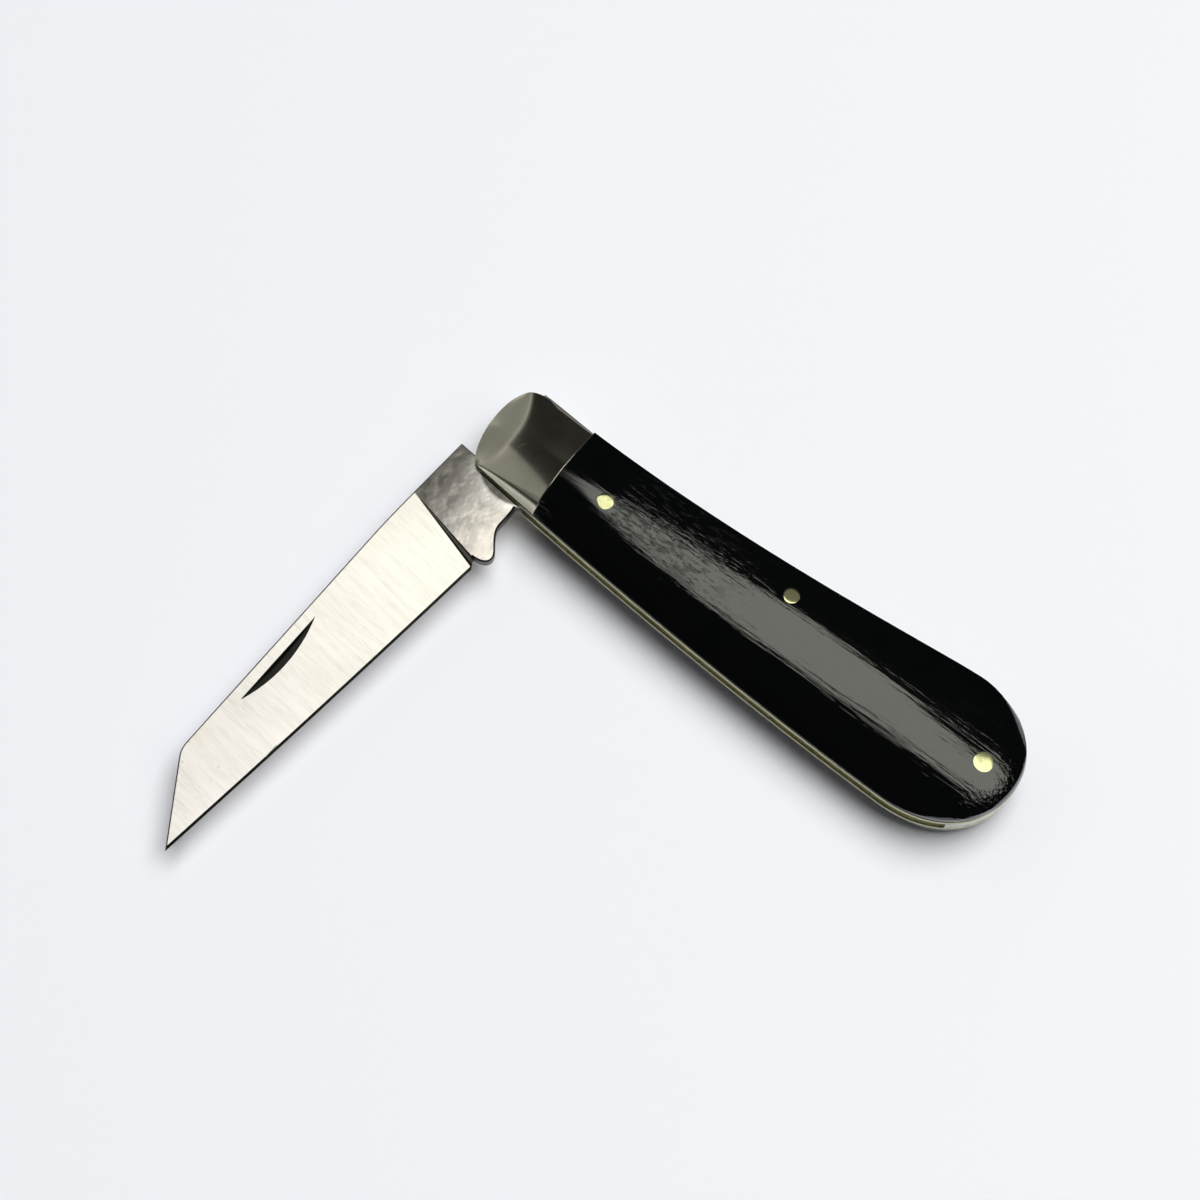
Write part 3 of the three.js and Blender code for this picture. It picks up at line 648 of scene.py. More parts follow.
@dataclass
class Crown:
    """Height of the covers and bolsters above their liner, at any point of the plan.

    Each station is an x with the ridge's y there, and how late the channel's flank and the spine's
    flank fall away from it. The smoothing is the first and last x, the step, and how many steps the
    stations' values are averaged over to each side.
    """

    shape: HandleShape
    stations: tuple = (
        (-7.0, 1.10, 2.09, 1.45), (5.35, 1.18, 2.11, 1.42), (8.0, 1.10, 2.42, 1.57),
        (12.4, 0.77, 3.02, 1.69), (17.0, 0.70, 4.43, 2.01), (24.0, 0.58, 5.85, 2.22),
        (30.0, 0.57, 7.36, 2.40), (36.0, 0.85, 7.03, 2.59), (41.0, 1.15, 6.45, 2.74),
        (48.0, 1.25, 5.41, 2.43), (55.0, 1.30, 4.39, 2.04), (62.0, 1.00, 3.63, 1.56),
        (68.0, 0.77, 3.20, 1.37), (72.0, 0.75, 3.18, 1.36), (77.0, 0.70, 3.13, 1.34),
    )
    bolster_powers: tuple = ((-7.0, -2.0, 2.0, 5.35), (1.3, 1.4, 1.5, 1.6))
    bolster_side_height: float = 1.5
    bolster_crease: tuple = (0.4, 0.15, 0.003)
    bolster_crease_height: tuple = (0.45, 0.182)
    flank_bend: float = 0.6
    cover_rim: float = 0.25
    cover_bend: float = 1.1
    bolster_rim: float = 0.12
    bevel_slopes: tuple = (0.75, 1.28)
    bevel_least: float = 0.12
    bevel_round: float = 0.1
    bolster_fall: float = 0.045
    bolster_curve: float = 0.003
    facet_slope: float = 0.53
    facet_ease: float = 0.7
    facet_start: tuple = (-2.6, 1.5)
    facet_bends: tuple = (0.058, 0.036)
    facet_round: float = 0.4
    facet_edge: float = 0.3
    facet_least: float = 1.0
    butt_start: float = 63.15
    butt_lean: float = 0.25
    butt_run: float = 7.0
    butt_edge: float = 1.2
    butt_least: float = 0.3
    dome_lift: float = 2.0
    over_dome: float = 5.0
    soft_gap: float = 0.5
    smoothing: tuple = (-12.0, 82.0, 0.5, 6)

    def __post_init__(self) -> None:
        """Keeps the edge lines, the ends' outlines and the smoothed stations for quick reading."""
        shape = self.shape
        butt = np.vstack([shape.curve("butt_under"), shape.curve("butt_over")])
        nose = np.vstack([shape.curve(name) for name in ("nose_over", "nose_under", "nose_corner")])
        self.table = {
            "channel": shape.curve("channel_curve").T,
            "spine": shape.curve("spine_curve")[::-1].T,
            "butt": butt.T[::-1],
            "nose": nose[::-1].T[::-1],
            "bolster_power": self.bolster_powers,
        }
        *span, reach = self.smoothing
        fine = np.arange(*span)
        kernel = np.hanning(2 * reach + 3)[1:-1]
        columns = np.array(self.stations).T
        for name, column in zip(("top", "channel_power", "spine_power"), columns[1:]):
            values = np.pad(np.interp(fine, columns[0], column), reach, mode="edge")
            self.table[name] = np.array([fine, np.convolve(values, kernel / kernel.sum(), "valid")])

    def read(self, name: str, at: float) -> float:
        """Returns the value of one kept line at a place."""
        return float(np.interp(at, *self.table[name]))

    def crease(self, x: float) -> float:
        """Returns how far the crease lies in from the channel edge."""
        start, rate, bend = self.bolster_crease
        ahead = max(x - self.shape.channel_curve[0][0], 0.0)
        if x > JUNCTION_X:
            wider, _, run = self.shape.crease_ease
            return self.shape.crease_width + wider * math.exp((JUNCTION_X - x) / run)
        return start + rate * ahead + bend * ahead**2

    def crease_top(self, x: float) -> float:
        """Returns the crease's height above the liner."""
        if x > JUNCTION_X:
            _, rise, run = self.shape.crease_ease
            return self.shape.crease_height + rise * math.exp((JUNCTION_X - x) / run)
        start, rate = self.bolster_crease_height
        return start + rate * max(x - self.shape.channel_curve[0][0], 0.0)

    def bevel(self, x: float, down: float) -> float:
        """Returns the height at a distance down from the crease towards the channel edge."""
        top = self.crease_top(x)
        width = self.crease(x) - self.shape.edge_inset
        if x > JUNCTION_X:
            return share(top, self.cover_rim, min(down / width, 1.0) ** self.cover_bend)
        drop = top - self.bolster_rim
        gentle, steep = self.bevel_slopes
        first = (steep * width - drop) / (steep - gentle)
        if first < self.bevel_least * width:
            first = self.bevel_least * width
            steep = (drop - gentle * first) / (width - first)
        down = min(down, width)
        return softer(top - gentle * down, self.bolster_rim + steep * (width - down),
                      self.bevel_round * width)

    def ridge(self, x: float, y: float) -> float:
        """Returns the height of the long crown, before the ends are rounded."""
        crease = self.read("channel", x) + self.crease(x)
        if y < crease:
            return self.bevel(x, crease - y)
        top = self.read("top", x)
        if y <= top:
            part = (top - y) / (top - crease)
            fall = part ** self.read("bolster_power", x) if x <= JUNCTION_X else self.flank(x, part)
            return share(self.full(x), self.crease_top(x), fall)
        part = (y - top) / (self.read("spine", x) - self.shape.spine_edge - top)
        full = self.full(x)
        side = self.shape.spine_side_height if x > JUNCTION_X else self.bolster_side_height
        edge = side * full / COVER_DEPTH
        return share(full, edge, part ** self.read("spine_power", x))

    def flank(self, x: float, part: float) -> float:
        """Returns how much of the cover's fall is done part of the way to the crease, level at its end."""
        power, bend = self.read("channel_power", x), self.flank_bend
        whole = bend**power + power * bend ** (power - 1) * (1 - bend)
        if part <= bend:
            return part**power / whole
        return (bend**power + power * bend ** (power - 1) * (part - bend)) / whole

    def full(self, x: float) -> float:
        """Returns the ridge's height, which falls from the junction to the nose."""
        back = max(JUNCTION_X - x, 0.0)
        return COVER_DEPTH - self.bolster_fall * back - self.bolster_curve * back**2

    def bolster(self, x: float, y: float) -> float:
        """Returns the bolster's height, which ends in a sloping facet at the nose."""
        base = self.ridge(x, y)
        start, middle = self.facet_start
        offset = y - middle
        boundary = start - self.facet_bends[0 if offset > 0 else 1] * offset**2
        ahead = boundary - x
        ahead = (ahead + math.sqrt(ahead**2 + self.facet_round**2)) / 2
        reach = max(boundary - self.read("nose", y), self.facet_least)
        drop = softer(self.facet_slope * reach, max(base - self.facet_edge, 0.0), self.soft_gap)
        part = min(ahead / reach, 1.0)
        return base - max(drop, 0.0) * share(part**2, part, self.facet_ease)

    def cover(self, x: float, y: float) -> float:
        """Returns the cover's height, rounded down at the butt."""
        height = self.ridge(x, y)
        if x < self.butt_start - 1:
            return height
        return softer(height, self.dome(x, y), self.soft_gap)

    def dome(self, x: float, y: float) -> float:
        """Returns the height of the butt's round slope, found from how far it is squeezed forwards."""
        ys = self.table["butt"][0]
        edge = self.read("butt", min(max(y, ys[0] + 1e-3), ys[-1] - 1e-3))
        whole = self.shape.butt_over[0][0] - self.butt_start
        reach = max(edge - self.butt_start, self.butt_least)
        inset = whole * (1 - (x - self.butt_start) / reach)
        part = (inset - self.butt_lean) / self.butt_run
        if part <= 0:
            return share(self.butt_edge, 0.0, min(max(-part * self.butt_run / self.butt_lean, 0), 1))
        if part >= 1:
            return COVER_DEPTH + self.over_dome
        return share(COVER_DEPTH + self.dome_lift * part**4, self.butt_edge, (1 - part) ** 2)


@dataclass
class SidePiece:
    """A cover or a bolster: a crowned skin over a fan of rows from the rim to the middle.

    The channel's and the spine's stretches of the outline are named from the junction on, each with
    the direction that it is followed in.
    """

    crown: Crown
    side: Side
    channel_way: tuple
    spine_way: tuple
    round_run: float
    tip_x: float
    stations: int = 120
    rim_rows: tuple = (0.0, 0.006, 0.02, 0.04, 0.08, 0.2, 0.35, 0.55, 0.8, 1.1, 1.4, 1.6, 1.68,
                       1.75, 1.82, 1.95, 2.15)
    crease_row: int = 13
    inner_rows: int = 22
    eased: float = 0.04
    junction_eased: float = 0.03
    junction_steps: tuple = (0.0, 0.01, 0.03, 0.06, 0.1, 0.15, 0.22)
    middle_ease: float = 1.2548
    creased_under: float = -4.2
    inset_fade: float = 4.0
    least_height: float = 0.02

    def __post_init__(self) -> None:
        """Finds the direction in which the piece runs from the junction, 1 or -1."""
        self.toward = 1 if self.tip_x > JUNCTION_X else -1

    def height(self, x: float, y: float) -> float:
        """Returns the height above the liner at a point of the plan."""
        raise NotImplementedError

    def row_scale(self, x: float, y: float) -> float:
        """Returns how closely the rows follow the rim, so that one of them lies on the crease."""
        if y > 0:
            return 1.0
        return (self.crown.crease(x) - self.crown.shape.edge_inset) / self.rim_rows[self.crease_row]

    def rim(self, names: tuple) -> np.ndarray:
        """Returns one side of the rim, from the junction to the tip.

        Args:
            names: Stretches of the outline with the direction that each is followed in.

        Returns:
            The points, close together near the junction and even after it.
        """
        path = np.vstack([self.crown.shape.curve(name)[::step] for name, step in names])
        ahead = (path[:, 0] - JUNCTION_X) * self.toward
        first = np.array([[JUNCTION_X, float(np.interp(0, ahead, path[:, 1]))]])
        line = np.vstack([first, path[ahead > 1e-6]])
        return self.drawn_in(spread(line, self.stations + 1, self.junction_steps))

    def middle_line(self, first: np.ndarray, second: np.ndarray) -> np.ndarray:
        """Returns the line that both sides' rows end on, drawn back from the tip."""
        along = (first[:, 0] + second[:, 0]) / 2 * self.toward
        start = self.tip_x * self.toward - 2 * self.round_run
        scale = self.middle_ease * self.round_run
        past = np.maximum(along - start, 0)
        along = np.minimum(along, start) + scale * (1 - np.exp(-past / scale))
        x = along * self.toward
        channel = np.interp(x, *self.crown.table["channel"])
        spine = np.interp(x, *self.crown.table["spine"])
        return np.column_stack([x, (channel + spine) / 2])

    def skin(self) -> BMesh:
        """Builds the crowned upper skin as a grid bent round the tip, joined along its middle."""
        first, second = self.rim(self.channel_way), self.rim(self.spine_way)
        middle = self.middle_line(first, second)
        rim = np.vstack([first, second[-2::-1]])
        ends = np.vstack([middle, middle[-2::-1]])
        rows = len(self.rim_rows) + self.inner_rows - 1
        bm = bmesh.new()
        bmesh.ops.create_grid(bm, x_segments=2 * self.stations, y_segments=rows, size=1)
        creased = set()
        for vert in bm.verts:
            station = round((vert.co.x + 1) * self.stations)
            row = round((vert.co.y + 1) / 2 * rows)
            vert.co = self.skin_point(rim[station], ends[station], row, rows)
            if row == self.crease_row and rim[station][1] < self.creased_under:
                creased.add(vert)
        for edge in bm.edges:
            if creased.issuperset(edge.verts):
                edge.smooth = False
        bmesh.ops.remove_doubles(bm, verts=bm.verts, dist=TINY)
        return bm

    def skin_point(self, rim: np.ndarray, end: np.ndarray, row: int, rows: int) -> tuple:
        """Returns the point of one row between the rim and the middle.

        Args:
            rim: The row's station on the rim.
            end: Its end on the middle line.
            row: The row's number, 0 at the rim.
            rows: The number of the last row, on the middle line.

        Returns:
            The point, with its rounded height above the liner.
        """
        length = float(np.hypot(*(end - rim)))
        last = len(self.rim_rows) - 1
        scale = self.row_scale(*rim)
        inset = self.rim_rows[min(row, last)] * scale
        if row > last:
            inset = share(inset, length, (row - last) / (rows - last))
        x, y = rim + (end - rim) * min(inset / length, 1.0)
        drop = rounding(inset / scale, self.eased) * scale
        drop += rounding(abs(x - JUNCTION_X), self.junction_eased)
        return x, y, max(self.height(x, y) - drop, self.least_height)

    def drawn_in(self, rim: np.ndarray) -> np.ndarray:
        """Moves the channel side of a rim in from the liner's edge."""
        inset = self.crown.shape.edge_inset
        moved = rim.copy()
        low = rim[:, 1] < 0
        moved[low, 1] += inset * np.clip(-rim[low, 1] / self.inset_fade, 0, 1)
        return moved

    def build(self) -> BMesh:
        """Builds the closed solid, turned over for the pile side."""
        bm = self.skin()
        rim = [edge for edge in bm.edges if edge.is_boundary]
        made = bmesh.ops.extrude_edge_only(bm, edges=rim)
        for vert in (e for e in made["geom"] if isinstance(e, BMVert)):
            vert.co.z = 0
        base = [edge for edge in bm.edges if edge.is_boundary]
        bmesh.ops.edgeloop_fill(bm, edges=base)
        if self.side is Side.PILE:
            bmesh.ops.scale(bm, vec=(1, 1, -1), verts=bm.verts)
            bmesh.ops.translate(bm, vec=(0, 0, COVER_DEPTH), verts=bm.verts)
        else:
            bmesh.ops.translate(bm, vec=(0, 0, MARK_BASE), verts=bm.verts)
        return bm


@dataclass
class BolsterPiece(SidePiece):
    """One bolster, from the cover's junction round the nose."""

    channel_way: tuple = (("channel_curve", -1), ("nose_corner", -1), ("nose_under", -1))
    spine_way: tuple = (("spine_curve", 1), ("nose_over", 1))
    round_run: float = 4.6
    tip_x: float = -6.8
    junction_eased: float = 0.14
    spine_inset: float = 0.3
    spine_inset_start: float = -2.2
    spine_inset_run: float = 1.5
    corner_run: float = 3.0

    def height(self, x: float, y: float) -> float:
        """Returns the bolster's height above the liner."""
        return self.crown.bolster(min(x, JUNCTION_X - 1e-6), y)

    def drawn_in(self, rim: np.ndarray) -> np.ndarray:
        """Moves the rim in, also on the spine's side, where the liner and spring show past it."""
        moved = super().drawn_in(rim)
        high = rim[:, 1] > 0
        ahead = (rim[high, 0] - self.spine_inset_start) / self.spine_inset_run
        moved[high, 1] -= self.spine_inset * np.clip(ahead, 0, 1)
        return moved

    def row_scale(self, x: float, y: float) -> float:
        """Returns how closely the rows follow the rim, which is less so past the nose's corner."""
        close = super().row_scale(x, y)
        corner_x, corner_y = self.crown.shape.channel_curve[0]
        if y < 0 and x < corner_x:
            close = share(close, 1.0, min(max((y - corner_y) / self.corner_run, 0.0), 1.0))
        return close


@dataclass
class CoverPiece(SidePiece):
    """One cover, from the bolster's junction round the butt."""

    channel_way: tuple = (("channel_curve", 1), ("butt_under", 1))
    spine_way: tuple = (("spine_curve", -1), ("butt_over", -1))
    round_run: float = 9.0
    tip_x: float = 76.35
    stations: int = 240

    def height(self, x: float, y: float) -> float:
        """Returns the cover's height above the liner."""
        return self.crown.cover(max(x, JUNCTION_X + 1e-6), y)


@dataclass
class Handle:
    """The fixed half of the knife: covers, bolsters, liners, backspring and pins.

    Each pin is its x, its y and its radius. Their rim is where a head's groove starts, as a part of
    the radius, and how deep it is at the edge.
    """

    wood: Material
    silver: Material
    spring: Material
    brass: Material
    pin: Material
    shape: HandleShape = field(default_factory=HandleShape)
    outline_points: int = 420
    skin_smooth: float = 24.0
    flat_angle: float = 0.5
    liner_eased: float = 0.07
    spring_eased: float = 0.06
    pin_rings: tuple = (0.0, 0.25, 0.5, 0.7, 0.84, 0.92, 0.97, 1.0)
    pin_sides: int = 64
    pin_rise: float = 0.02
    pin_rim: tuple = (0.96, 0.05)
    pivot_groove: float = 0.012
    cover_pin: tuple = (12.4, 1.0, 1.15)
    centre_pin: tuple = (39.0, 5.4, 1.15)
    butt_pin: tuple = (71.2, 2.4, 1.35)
    pivot_pin: tuple = (0.0, 0.0, 1.25)
    silver_pieces: list = field(default_factory=list)
    brass_pins: list = field(default_factory=list)

    def __post_init__(self) -> None:
        """Makes the crown that covers, bolsters and pins share."""
        self.crown = Crown(self.shape)

    def build(self) -> None:
        """Builds and fits every piece of the handle."""
        for side in Side:
            self.build_side(side)
        self.build_backspring()
        self.build_pins()

    def build_side(self, side: Side) -> None:
        """Builds the cover, the bolster and the liner of one side."""
        name = side.value
        finish_piece(CoverPiece(self.crown, side).build(), f"{name}_cover", f"cover_{name}_side",
                     [self.wood], self.skin_smooth)
        self.silver_pieces.append(
            finish_piece(BolsterPiece(self.crown, side).build(), f"{name}_bolster",
                         f"bolster_{name}_side", [self.silver], self.skin_smooth))
        base = COVER_DEPTH if side is Side.PILE else SLOT_TOP
        bm = start_outline(self.shape.outline(self.outline_points))
        raise_plate(bm, base, base + LINER_DEPTH)
        ease_edges(bm, rim_edges(bm), self.liner_eased)
        finish_piece(bm, f"{name}_liner", f"liner_{name}_side", [self.brass])

    def build_backspring(self) -> None:
        """Builds the backspring from its solid's merged shape, with eased edges."""
        bm = bmesh.new()
        bm.from_mesh(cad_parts["backspring"].data)
        bmesh.ops.scale(bm, vec=(1 / MM, 1 / MM, 1 / MM), verts=bm.verts)
        bmesh.ops.remove_doubles(bm, verts=bm.verts, dist=1e-3)
        bmesh.ops.dissolve_limit(bm, angle_limit=math.radians(self.flat_angle), verts=bm.verts,
                                 edges=bm.edges)
        bm.normal_update()
        ease_edges(bm, rim_edges(bm), self.spring_eased)
        finish_piece(bm, "spring_steel_back", "backspring", [self.spring])

    def build_pins(self) -> None:
        """Builds each rivet, with heads that follow the crown."""
        rows = (
            ("rivet_centre", "centre_pin", self.centre_pin, tuple(Side)),
            ("rivet_butt", "butt_pin", self.butt_pin, tuple(Side)),
            ("rivet_front_mark", "cover_pin_mark_side", self.cover_pin, (Side.MARK,)),
            ("rivet_front_pile", "cover_pin_pile_side", self.cover_pin, (Side.PILE,)),
        )
        for name, node, place, heads in rows:
            bm = self.rivet(place, heads, self.crown.cover, self.pin_rise)
            self.brass_pins.append(finish_piece(bm, name, node, [self.pin]))
        bm = self.rivet(self.pivot_pin, tuple(Side), self.crown.bolster, 0.0)
        pivot = finish_piece(bm, "rivet_pivot", "pivot_pin", [self.silver])
        self.silver_pieces.append(pivot)

    def rivet(self, place: tuple, heads: tuple, height: Callable[[float, float], float],
              rise: float) -> BMesh:
        """Builds a round rivet by turning its profile, then lays its heads on the crown.

        Args:
            place: Its x, y and radius.
            heads: The sides that it comes out on; on another it ends at the slot.
            height: The height function of the surface that its heads lie in.
            rise: How proud the middle of a head is.

        Returns:
            The mesh in millimetres.
        """
        x, y, radius = place
        low = 0.0 if Side.PILE in heads else SLOT_TOP
        high = THICKNESS if Side.MARK in heads else SLOT_BASE
        radii = [radius * part for part in self.pin_rings]
        profile = [(r, high) for r in radii] + [(r, low) for r in reversed(radii)]
        bm = bmesh.new()
        verts = [bm.verts.new((r, 0, z)) for r, z in profile]
        edges = [bm.edges.new(pair) for pair in zip(verts, verts[1:])]
        bmesh.ops.spin(bm, geom=[*verts, *edges], cent=(0, 0, 0), axis=(0, 0, 1),
                       angle=2 * math.pi, steps=self.pin_sides, use_merge=True)
        bmesh.ops.remove_doubles(bm, verts=bm.verts, dist=TINY)
        bmesh.ops.translate(bm, vec=(x, y, 0), verts=bm.verts)
        start, depth = self.pin_rim
        depth = depth if rise > 0 else self.pivot_groove
        for vert in bm.verts:
            part = math.hypot(vert.co.x - x, vert.co.y - y) / radius
            proud = rise * (1 - part**8) - depth * max((part - start) / (1 - start), 0.0) ** 2
            level = height(vert.co.x, vert.co.y) + proud
            if abs(vert.co.z - THICKNESS) < 1e-6:
                vert.co.z = min(MARK_BASE + level, THICKNESS)
            elif abs(vert.co.z) < 1e-6:
                vert.co.z = max(COVER_DEPTH - level, 0.0)
        return bm


@dataclass
class Blade:
    """The blade and its tang, in the blade's own frame: x to the tip and y to the edge.

    The plunge is its foot's x and its lean; its widths are those at the spine and at the heel. The
    nick is its start, its length, how far below the spine it begins, its width and its depth. The
    kick's rest is the spring's height there, the gap left to it, and the blade's angle when closed.
    """

    materials: list[Material]
    shape: HandleShape = field(default_factory=HandleShape)
    rest_angle: float = -95.5
    middle: float = THICKNESS / 2
    tang_half: float = 0.97
    boss_radius: float = 6.2
    boss_half: float = 1.05
    boss_inset: float = 0.03
    boss_sides: int = 96
    shoulder: float = 3.7
    spring_depth: float = 2.4
    cam_lift: float = 0.65
    closed_normal: float = 93.5
    hollow_angle: float = 30.0
    spine_start: float = 18.0
    spine_ease: tuple = (2.5, 4.0)
    drop_corner: tuple = (57.95, -6.168)
    drop_round: float = 1.1
    tip: tuple = (68.697, 1.7)
    heel: tuple = (15.3, 4.6)
    belly: float = 0.36
    notch: tuple = (14.05, 3.8)
    hollow: tuple = (8.4, 3.38)
    kick_x: float = 12.6
    kick_rest: tuple = (2.85, 0.05, 3.5)
    notch_pulls: tuple = (13.9, 0.64, 13.4)
    kick_pulls: tuple = (11.3, 10.4, 0.07)
    hollow_pulls: tuple = ((7.2, -0.04), (6.4, -0.03))
    plunge: tuple = (13.64, 0.113)
    plunge_widths: tuple = (0.16, 1.0)
    plunge_lines: tuple = (0.24, 0.66)
    plunge_start: float = 1.3
    taper: float = 0.0055
    edge_half: float = 0.22
    edge_width: float = 0.34
    nick: tuple = (33.7, 14.5, 1.6, 1.32, 0.5)
    eased: float = 0.2
    wall_slope: float = 0.8
    columns: int = 26
    nick_columns: int = 64
    nick_rows: int = 9
    nick_lip: tuple = (0.02, 0.03)
    nick_shown: float = 0.004
    face_rows: tuple = (5.0, 7.0, 9.0)
    first_column: float = 16.5
    smooth: float = 8.0
    merge_gap: float = 2e-3

    def __post_init__(self) -> None:
        """Works out the tang's levels from the handle's spine."""
        self.tang_spine = self.shape.spine(JUNCTION_X)
        self.flat = self.tang_spine - self.spring_depth
        self.cam = self.flat + self.cam_lift

    def edge_line(self, x: float) -> float:
        """Returns the height of the sharpened edge at x."""
        part = (x - self.heel[0]) / (self.tip[0] - self.heel[0])
        return share(self.heel[1], self.tip[1], part) + 2 * part * (1 - part) * self.belly

    def spine_line(self, x: float) -> float:
        """Returns the height of the blade's spine line at x."""
        part = (x - self.spine_start) / (self.drop_corner[0] - self.spine_start)
        return share(-self.tang_spine, self.drop_corner[1], part)

    def kick_y(self) -> float:
        """Returns the height of the kick, which rests on the spring when the blade is closed."""
        spring, clear, degrees = self.kick_rest
        rest = self.shape.spine(self.kick_x) - spring - clear
        turn = math.radians(degrees)
        return (rest + self.kick_x * math.sin(turn)) / math.cos(turn)

    def arc(self, start: float, end: float, steps: int) -> list[tuple[float, float]]:
        """Returns points of the tang's round between two angles in degrees."""
        angles = np.radians(np.linspace(start, end, steps))
        return [(self.cam * math.cos(a), self.cam * math.sin(a)) for a in angles]

    def soft(self, corner: tuple, before: tuple, after: tuple, count: int) -> np.ndarray:
        """Returns points that round a corner off between two points beside it."""
        a, b, c = (np.array(p, float) for p in (before, corner, after))
        t = np.linspace(0, 1, count)[:, None]
        return a * (1 - t) ** 2 + 2 * b * t * (1 - t) + c * t**2

    def outline(self) -> np.ndarray:
        """Returns the outline of tang and blade, anticlockwise."""
        start, corner, tip = self.spine_start, self.drop_corner, np.array(self.tip)
        down = (tip - corner) / np.hypot(*(tip - corner))
        x0, x1 = start - self.spine_ease[0], start + self.spine_ease[1]
        spine = self.soft((start, -self.tang_spine), (x0, -self.tang_spine), (x1, self.spine_line(x1)), 9)
        xr = corner[0] - self.drop_round
        drop = self.soft(corner, (xr, self.spine_line(xr)), np.array(corner) + down * self.drop_round, 7)
        edge = [(x, self.edge_line(x)) for x in np.linspace(self.tip[0], self.heel[0], 40)]
        kick = (self.kick_x, self.kick_y())
        low = self.hollow
        end = (self.cam * math.cos(math.radians(self.hollow_angle)),
               self.cam * math.sin(math.radians(self.hollow_angle)))
        first_x, part, last_x = self.notch_pulls
        pull = (first_x, share(self.notch[1], kick[1], part))
        notch = bezier([self.notch, pull, (last_x, kick[1]), kick], 10)[:-1]
        first_x, last_x, lift = self.kick_pulls
        kicked = bezier([kick, (first_x, kick[1]), (last_x, low[1] + lift), low], 16)[:-1]
        pulls = [(x, low[1] + lift) for x, lift in self.hollow_pulls]
        hollow = bezier([low, *pulls, end], 10)[:-1]
        turn = math.degrees(math.acos(self.flat / self.cam))
        parts = [
            [(self.shoulder, -self.tang_spine)], spine, drop, edge, notch, kicked, hollow,
            self.arc(self.hollow_angle, self.closed_normal - turn, 12),
            self.arc(self.closed_normal + turn, 270 - turn, 48), [(self.shoulder, -self.flat)],
        ]
        return np.vstack([np.array(part, float) for part in parts])

    def half(self, x: float, y: float) -> float:
        """Returns half the thickness at a point of the face, before the nick."""
        edge = self.edge_line(x)
        start = edge - self.edge_width
        if y <= start:
            spine = self.spine_line(x)
            root = self.tang_half - self.taper * (x - self.heel[0])
            ground = share(root, self.edge_half, (y - spine) / (start - spine))
        else:
            ground = self.edge_half * (edge - y) / self.edge_width
        part = min(max(self.past_plunge(x, y), 0.0), 1.0)
        return share(self.tang_half, min(self.tang_half, max(ground, 0.0)), part)

    def past_plunge(self, x: float, y: float) -> float:
        """Returns how far along the plunge's ramp a point lies: 0 at the tang, 1 at the ground face."""
        top, low = self.plunge_start - self.tang_spine, self.heel[1]
        width = share(*self.plunge_widths, max((y - top) / (low - top), -0.1))
        return (x - self.plunge[0] - self.plunge[1] * y) / width

    def cut_plunge(self, bm: BMesh) -> None:
        """Cuts the plate along the plunge's ramp and along the two scratched lines on it."""
        foot, lean = self.plunge
        top, low = self.plunge_start - self.tang_spine, self.heel[1]
        for part in (0.0, *self.plunge_lines, 1.0):
            first, last = (foot + width * part for width in self.plunge_widths)
            self.cut(bm, (first + lean * top, top), (last - first + lean * (low - top), low - top))

    def in_nick(self, x: float, y: float) -> tuple[float, float]:
        """Returns how far along the nick a point lies, from 0 to 1, and how far past its upper line."""
        start, length, below, _, _ = self.nick
        return (x - start) / length, y - self.spine_line(x) - below

    def nick_row(self, x: float, y: float) -> float:
        """Returns where a point of the mark side's face goes, so that rows follow the nick."""
        part, past = self.in_nick(x, y)
        if not 0 <= part <= 1 or not 0 < past < self.nick[3] + 1e-3:
            return y
        return y - past * (1 - 4 * part * (1 - part))

    def nick_depth(self, x: float, y: float) -> float:
        """Returns how deep the nail nick is at a point of the mark side's face."""
        *_, width, depth = self.nick
        part, past = self.in_nick(x, y)
        if not 0 < part < 1 or past < 0:
            return 0.0
        deep = depth * 4 * part * (1 - part)
        return max(deep * (1 - past / (width / depth * deep)), 0.0) if deep > 1e-6 else 0.0

    def cut(self, bm: BMesh, point: tuple, along: tuple) -> None:
        """Cuts the mesh by the upright plane through a point and along a direction."""
        bmesh.ops.bisect_plane(bm, geom=[*bm.verts, *bm.edges, *bm.faces], dist=TINY,
                               plane_co=(*point, 0), plane_no=(-along[1], along[0], 0))

    def slice_up(self, bm: BMesh) -> None:
        """Cuts the plate along the grind's lines and into fine columns and rows."""
        start, length, below, width, _ = self.nick
        slope = self.spine_line(1) - self.spine_line(0)
        self.cut_plunge(bm)
        low_y = self.edge_line(self.heel[0]) - self.edge_width
        self.cut(bm, (self.heel[0], low_y), (self.tip[0] - self.heel[0],
                                             self.tip[1] - self.heel[1]))
        over, under = self.nick_lip
        nick_steps = np.linspace(under, width, self.nick_rows)
        for offset in [below - over, *(below + nick_steps), *self.face_rows]:
            self.cut(bm, (0, self.spine_line(0) + offset), (1, slope))
        columns = np.linspace(self.first_column, self.tip[0] - 1, self.columns)
        fine = start + length * (np.arange(self.nick_columns + 1) / self.nick_columns)
        for x in [*columns, *fine]:
            self.cut(bm, (x, 0), (0, 1))

    def shape_grind(self, bm: BMesh) -> None:
        """Moves the sliced plate's points to the ground thickness and cuts the nick."""
        heel_x, tip_x = self.heel[0], self.tip[0]
        for vert in bm.verts:
            x, y = vert.co.x, vert.co.y
            part = (x - heel_x) / (tip_x - heel_x)
            straight = share(self.heel[1], self.tip[1], part) - self.edge_width
            if 0 < part < 1 and abs(y - straight) < self.merge_gap:
                vert.co.y = y = self.edge_line(x) - self.edge_width
            side = 1 if vert.co.z > 0 else -1
            if side > 0:
                vert.co.y = y = self.nick_row(x, y)
            level = self.half(x, y) - (self.tang_half - abs(vert.co.z))
            if side > 0:
                level -= self.nick_depth(x, y)
            vert.co.z = side * max(level, 0.0)

